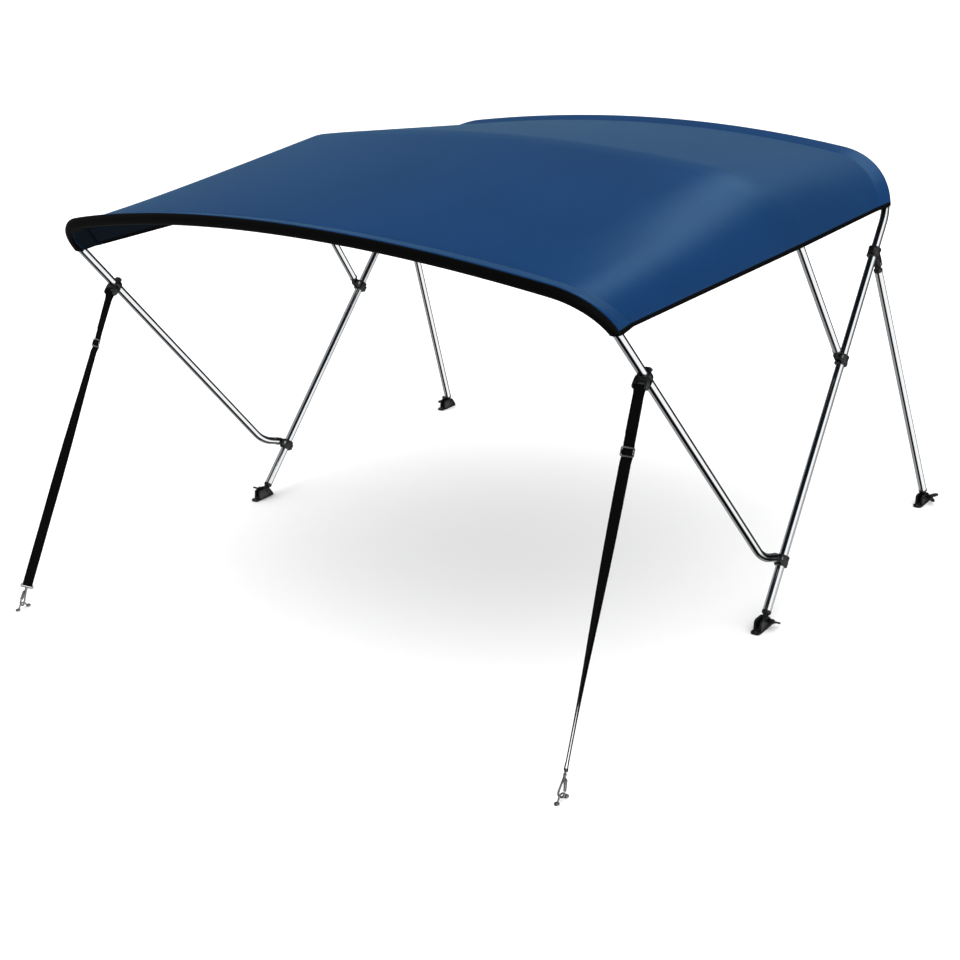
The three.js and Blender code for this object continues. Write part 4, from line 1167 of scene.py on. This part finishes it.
class BIMINI_OT_jaw_slides(bpy.types.Operator):
    """Clamps the three jaw slides on each leg of the main bow, with their pins and screws"""

    bl_idname = "bimini.jaw_slides"
    bl_label = "Jaw slides"

    def execute(self, context):
        for side, tag in SIDES:
            up = mirrored(main_up, side)
            for name, slide in slides.items():
                jaw = slide["jaw"]
                across = jaw.cross(up)
                outboard = across * math.copysign(1, across.x) * side
                centre = mirrored(slide["centre"], side)
                finish_piece(jaw_slide_shape(slide["reach"], slide["drop"]),
                             f"moulded_slide_{name}_{tag}", moulded_nylon,
                             f"jaw_slide_{name}_{tag}", local_frame(centre, across, up))
                finish_piece(jaw_pin_shape(), f"bolt_{name}_{tag}", cast_stainless,
                             f"jaw_pin_{name}_{tag}",
                             local_frame(mirrored(slide["pin"], side), outboard, up))
                finish_piece(clamp_screw_shape(), f"clamp_screw_{name}_{tag}", cast_stainless,
                             matrix=local_frame(centre - jaw * 19.5, outboard, up))
        return {"FINISHED"}


BASE_HALF = (13, 40)
BASE_SHIFT = 14
CHEEK_OUTLINE = (
    (-24, 3, 0), (36, 3, 0), (36, 7, 1.5), (25, 24, 3), (18, 31, 4), (-14, 31, 4), (-21, 27, 2),
)
SCREWS = ((-32, 5), (29, 8.5))


def deck_hinge_shape():
    """Base plate with rounded corners, two cheeks round the pin and a floor between them."""
    bm = bmesh.new()
    x, y = BASE_HALF
    slab(bm, "z", 0, 5, [(-x, -y, 9), (x, -y, 9), (x, y, 9), (-x, y, 9)], rim=1.2)
    for cheek, boss in zip(both_sides(5.5, 11.5), both_sides(11.3, 11.7)):
        slab(bm, "x", *cheek, CHEEK_OUTLINE, rim=1)
        ring(bm, "x", 6.9, 9.4, *boss, lip=0.2, centre=(0, BASE_SHIFT, MAIN_PIN.z))
    slab(bm, "x", -6, 6, [(-23, 3, 0), (35, 3, 0), (33, 8.5, 2), (-23, 8.5, 2)], rim=0.4)
    return bm


def base_screws_shape():
    """The two countersunk screws of a base, one in front of the cheeks and one between them."""
    bm = bmesh.new()
    for y, seat in SCREWS:
        turned(bm, "z", [(0, seat - 1.5), (3.9, seat - 0.3), (3.9, seat + 0.2), (2.9, seat + 0.9),
                         (1.6, seat + 1), (1.6, seat), (0, seat)],
               centre=(0, y, 0), segments=24)
    return bm


EAR_OUTLINE = (
    (14.5, 0, 0), (15.5, 8, 2), (27, 16.5, 1.6), (31, 18, 1.6), (37, 17.5, 1.6), (39, 14, 1.6),
    (37, 9, 2), (26, 0, 0),
)


def wing_knob_shape():
    """Thumb screw: a hub and two rounded ears on a steel thread."""
    bm = bmesh.new()
    peg(bm, "x", 3, -14, 26)
    peg(bm, "x", 5, -14.8, -11.8, lip=0.5)
    turned(bm, "x", [(0, 12), *wall(6.5, 12, 27, 1.4), (3.4, 27), (3.2, 25.8), (0, 25.8)])
    for sign in (1, -1):
        slab(bm, "y", -2.5, 2.5, [(x, sign * z, r) for x, z, r in EAR_OUTLINE], rim=1.4)
    return bm


# Deck hinges: name, pin, and how far the wing knob is turned, in degrees.
HINGES = (("main", MAIN_PIN, 116), ("rear", REAR_PIN, 68))


class BIMINI_OT_deck_hinges(bpy.types.Operator):
    """Screws the four deck hinges down and puts in their wing knobs"""

    bl_idname = "bimini.deck_hinges"
    bl_label = "Deck hinges"

    def execute(self, context):
        for side, tag in SIDES:
            for name, pin, turn in HINGES:
                spot = mirrored(pin, side)
                base = Matrix.Translation((spot.x, spot.y - BASE_SHIFT, 0))
                finish_piece(deck_hinge_shape(), f"moulded_hinge_{name}_{tag}", moulded_nylon,
                             f"deck_hinge_{name}_{tag}", base)
                finish_piece(base_screws_shape(), f"base_screws_{name}_{tag}", cast_stainless,
                             matrix=base)
                tilt = Vector((0, math.sin(turn * DEGREE), math.cos(turn * DEGREE)))
                knob = f"wing_knob_{name}_{tag}"
                finish_piece(wing_knob_shape(), f"moulded_knob_{name}_{tag}", moulded_nylon,
                             knob, local_frame(spot, OUTWARD * side, tilt), knob)
        return {"FINISHED"}


def strap_slide_shape():
    """Short sleeve with two ears and the bar that the webbing goes over."""
    bm = bmesh.new()
    ring(bm, "z", 11.2, 16, -10, 10, lip=1.2)
    clamp_lugs(bm, 6, 22.5, 8)
    slab(bm, "z", -9, 9, [(-17.9, 5, 0), (17.9, 5, 0), (17.9, 17, 2), (-17.9, 17, 2)])
    tip = 6.5
    for low, high in both_sides(13.4, 17.9):
        slab(bm, "x", low, high, [
            (6, 9, 0), (6, -9, 0), (15, -9, 2), (STRAP_REACH + tip, -tip, tip - 0.1),
            (STRAP_REACH + tip, tip, tip - 0.1), (15, 9, 2)], rim=0.8)
    peg(bm, "x", BAR_RADIUS, -16.9, 16.9, centre=(0, STRAP_REACH, 0))
    return bm


def copy_of(node):
    """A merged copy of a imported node's mesh, with its flat faces made whole."""
    bm = bmesh.new()
    bm.from_mesh(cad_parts[node].data)
    bmesh.ops.remove_doubles(bm, verts=bm.verts, dist=1e-6)
    bmesh.ops.dissolve_limit(bm, angle_limit=math.radians(2), verts=bm.verts, edges=bm.edges)
    bm.transform(Matrix.Translation((0, -SHIFT_Y, 0)) @ Matrix.Scale(1 / MM, 4))
    return bm


HOOK = {"rod": 2.4, "bend": 7.4, "bend_centre": -50, "nose": -45.5}


def snap_hook_shape():
    """Swivel post, slanting spine bent to a hook, and the lug that carries the gate."""
    bm = bmesh.new()
    peg(bm, "z", 1.9, -19, -9, lip=0.3)
    peg(bm, "z", 3.7, -18.4, -15.3, lip=0.7)
    bend = []
    for step in range(13):
        angle = math.pi * (1 + step / 12)
        bend.append(Vector((HOOK["bend"] * math.cos(angle), 0,
                            HOOK["bend_centre"] + HOOK["bend"] * math.sin(angle))))
    top = smooth_path([Vector((0, 0, -16.5)), Vector((-2, 0, -20.5)), Vector((-4.7, 0, -35)),
                       bend[0]])
    part = bmesh.new()
    sweep(part, [*top[:-1], *bend, Vector((HOOK["bend"], 0, HOOK["nose"]))], HOOK["rod"], 20)
    soften(part, 0.5)
    join_into(bm, part)
    slab(bm, "y", -1.8, 1.8, [(-3, -16.5, 0), (4, -16.3, 1), (6.1, -21.5, 2), (4, -23.7, 2),
                              (-3, -23.3, 0)], rim=0.5)
    return bm


ARCH_HALF = ((-15.5, 3), (-12.4, 5.5), (-9.6, 10.5), (-5.8, 15.2))


def eye_strap_shape():
    """Round bar bent to an arch over two flange feet."""
    bm = bmesh.new()
    points = [*ARCH_HALF, (0, ARCH_TOP.z), *[(-y, z) for y, z in reversed(ARCH_HALF)]]
    part = bmesh.new()
    sweep(part, smooth_path([Vector((0, *point)) for point in points]), 2, 18)
    join_into(bm, part)
    for sign in (1, -1):
        peg(bm, "z", 6, 0, 4.4, lip=1.3, centre=(0, sign * 17.5, 0))
        turned(bm, "z", [(0, 4), (4, 4), (4, 4.6), (3, 5.7), (1.5, 6), (1.5, 5), (0, 5)],
               centre=(0, sign * 18, 0), segments=24)
    return bm


class BIMINI_OT_strap_fittings(bpy.types.Operator):
    """Makes each strap's slide, adjuster, snap hook and eye strap"""

    bl_idname = "bimini.strap_fittings"
    bl_label = "Strap fittings"

    def execute(self, context):
        for side, tag in SIDES:
            up = mirrored(leg_up, side)
            out = mirrored(pull, side)
            across = out.cross(up)
            outboard = across * math.copysign(1, across.x) * side
            centre = mirrored(strap_slide_centre, side)
            finish_piece(strap_slide_shape(), f"moulded_strap_slide_{tag}", moulded_nylon,
                         f"strap_slide_{tag}", local_frame(centre, across, up))
            finish_piece(clamp_screw_shape(), f"strap_slide_screw_{tag}", cast_stainless,
                         matrix=local_frame(centre - out * 18.5, outboard, up))
            for name, rim in (("strap_adjuster", 0.6), ("hook_bail", 0.5), ("hook_gate", 0.35)):
                node = f"{name}_{tag}"
                bm = copy_of(node)
                soften(bm, rim)
                finish_piece(bm, f"steel_{node}", cast_stainless, node,
                             body=ROOT if name != "hook_gate" else node)
            finish_piece(snap_hook_shape(), f"steel_snap_hook_{tag}", cast_stainless,
                         f"snap_hook_{tag}", local_frame(
                             mirrored(bail_centre, side), OUTWARD * side, mirrored(strap_up, side)))
            finish_piece(eye_strap_shape(), f"steel_eye_strap_{tag}", cast_stainless,
                         f"eye_strap_{tag}",
                         Matrix.Translation((side * ARCH_TOP.x, ARCH_TOP.y, 0)))
        return {"FINISHED"}


# Stage

# Camera: azimuth, elevation and roll in degrees, and its place in metres.
CAMERA_TURN = (37.385, 21.487, -2.639)
CAMERA_PLACE = Vector((2.5037, -3.2874 + SHIFT_Y * MM, 1.8558))

# What mirrors see from their left to their right: (position, colour).
CARDS = (
    (0.0, "#989899"), (0.38, "#949495"), (0.43, "#0a0a0a"), (0.73, "#0a0a0a"), (0.79, "#ffffff"),
    (1.0, "#ffffff"),
)
CARD_STRENGTH = 1.15

# Lamps: name, place, what it points at, size, power, colour, and whether it is only mirrored.
LAMPS = (
    ("overhead", (0.5, -0.5, 4.5), (0, 0, 0.6), 4.0, 60, "#ffffff", False),
    ("shoulder", (0.73, 3.25, 3.64), (0.65, 0.2, 1.05), 1.8, 32, "#c4efff", True),
)


def camera_frame(azimuth, elevation, roll):
    """Right, up and back directions of a camera, from its angles in degrees."""
    a, e, r = (angle * DEGREE for angle in (azimuth, elevation, roll))
    back = Vector((math.sin(a) * math.cos(e), -math.cos(a) * math.cos(e), math.sin(e)))
    right = Vector((math.cos(a), math.sin(a), 0))
    up = back.cross(right)
    rolled_right = right * math.cos(r) + up * math.sin(r)
    rolled_up = up * math.cos(r) - right * math.sin(r)
    return rolled_right, rolled_up, back


def studio(brightness):
    """White room. Mirrors see cards in it: white to the right, black in the middle, grey left."""
    world = bpy.data.worlds.new("studio")
    world.use_nodes = True
    tree = world.node_tree
    node = node_adder(tree)
    place = node("ShaderNodeTexCoord").outputs["Generated"]
    way = node("ShaderNodeSeparateXYZ", inputs={"Vector": place}).outputs
    across = node("ShaderNodeMapRange", inputs={"Value": way["X"], "From Min": -1})
    seen = node("ShaderNodeValToRGB", inputs={"Fac": across},
                stops=[(position, linear(colour)) for position, colour in CARDS])
    # A black flag stands high behind the part, where only its cloth would mirror the cards.
    high, behind = [
        node("ShaderNodeMapRange", inputs={"Value": way[axis], "From Min": low, "From Max": full})
        for axis, low, full in (("Z", -0.25, -0.1), ("Y", 0.3, 0.45))
    ]
    flag = node("ShaderNodeMath", {"operation": "MULTIPLY"}, {0: high, 1: behind})
    lit = node("ShaderNodeMath", {"operation": "SUBTRACT"}, {0: CARD_STRENGTH, 1: flag})
    cards = tree.nodes["Background"]
    fill(tree, cards, {"Color": seen, "Strength": lit})
    room = node("ShaderNodeBackground", inputs={"Strength": brightness})
    glossy = node("ShaderNodeLightPath").outputs["Is Glossy Ray"]
    mix = node("ShaderNodeMixShader", inputs={"Fac": glossy, 1: room, 2: cards})
    fill(tree, tree.nodes["World Output"], {"Surface": mix})
    return world


class BIMINI_OT_stage(bpy.types.Operator):
    """Lays the floor, hangs the lights and stands the camera"""

    bl_idname = "bimini.stage"
    bl_label = "Stage"

    def execute(self, context):
        scene = context.scene
        scene.world = studio(scene.bimini_stage.brightness)
        scene.view_settings.view_transform = "Standard"
        self.camera(scene)
        self.floor(scene)
        for lamp in LAMPS:
            self.lamp(scene, *lamp)
        return {"FINISHED"}

    def camera(self, scene):
        data = bpy.data.cameras.new("camera")
        data.lens = scene.bimini_stage.lens
        camera = bpy.data.objects.new("camera", data)
        scene.collection.objects.link(camera)
        pose = Matrix(camera_frame(*CAMERA_TURN)).transposed().to_4x4()
        pose.translation = CAMERA_PLACE
        camera.matrix_world = pose
        scene.camera = camera

    def floor(self, scene):
        bm = bmesh.new()
        bmesh.ops.create_grid(bm, x_segments=1, y_segments=1, size=30)
        mesh = bpy.data.meshes.new("floor")
        bm.to_mesh(mesh)
        bm.free()
        mesh.materials.append(material(studio_floor))
        floor = bpy.data.objects.new("floor", mesh)
        scene.collection.objects.link(floor)
        # The polished tubes mirror the studio's cards in the world, and not the floor.
        floor.visible_glossy = False

    def lamp(self, scene, name, place, target, size, power, colour, mirrored_only):
        light = bpy.data.lights.new(name, "AREA")
        light.size = size
        light.energy = power
        light.color = linear(colour)[:3]
        lamp = bpy.data.objects.new(name, light)
        scene.collection.objects.link(lamp)
        lamp.visible_glossy = mirrored_only
        lamp.visible_diffuse = not mirrored_only
        lamp.location = place
        away = Vector(target) - Vector(place)
        lamp.rotation_euler = away.to_track_quat("-Z", "Y").to_euler()


class BIMINI_PT_panel(bpy.types.Panel):
    """Sizes, colours and pieces of the bimini top"""

    bl_idname = "BIMINI_PT_panel"
    bl_label = "Bimini top"
    bl_space_type = "VIEW_3D"
    bl_region_type = "UI"
    bl_category = "Bimini"

    def draw(self, context):
        layout = self.layout
        for group in GROUPS:
            settings = getattr(context.scene, group)
            for name in type(settings).__annotations__:
                layout.prop(settings, name)
        for operator in OPERATORS:
            layout.operator(operator.bl_idname)


OPERATORS = (
    BIMINI_OT_bows, BIMINI_OT_canopy, BIMINI_OT_bindings, BIMINI_OT_straps, BIMINI_OT_eye_ends,
    BIMINI_OT_jaw_slides, BIMINI_OT_deck_hinges, BIMINI_OT_strap_fittings, BIMINI_OT_stage,
)
GROUPS = {
    "bimini_cloth": BIMINI_PG_cloth,
    "bimini_metal": BIMINI_PG_metal,
    "bimini_stage": BIMINI_PG_stage,
}
CLASSES = (*GROUPS.values(), *OPERATORS, BIMINI_PT_panel)


def register():
    for item in CLASSES:
        bpy.utils.register_class(item)
    for name, group in GROUPS.items():
        setattr(bpy.types.Scene, name, PointerProperty(type=group))


def unregister():
    for name in GROUPS:
        delattr(bpy.types.Scene, name)
    for item in reversed(CLASSES):
        bpy.utils.unregister_class(item)


def main():
    register()
    bpy.ops.bimini.bows()
    bpy.ops.bimini.canopy()
    bpy.ops.bimini.bindings()
    bpy.ops.bimini.straps()
    bpy.ops.bimini.eye_ends()
    bpy.ops.bimini.jaw_slides()
    bpy.ops.bimini.deck_hinges()
    bpy.ops.bimini.strap_fittings()
    bpy.ops.bimini.stage()


if __name__ == "__main__":
    main()
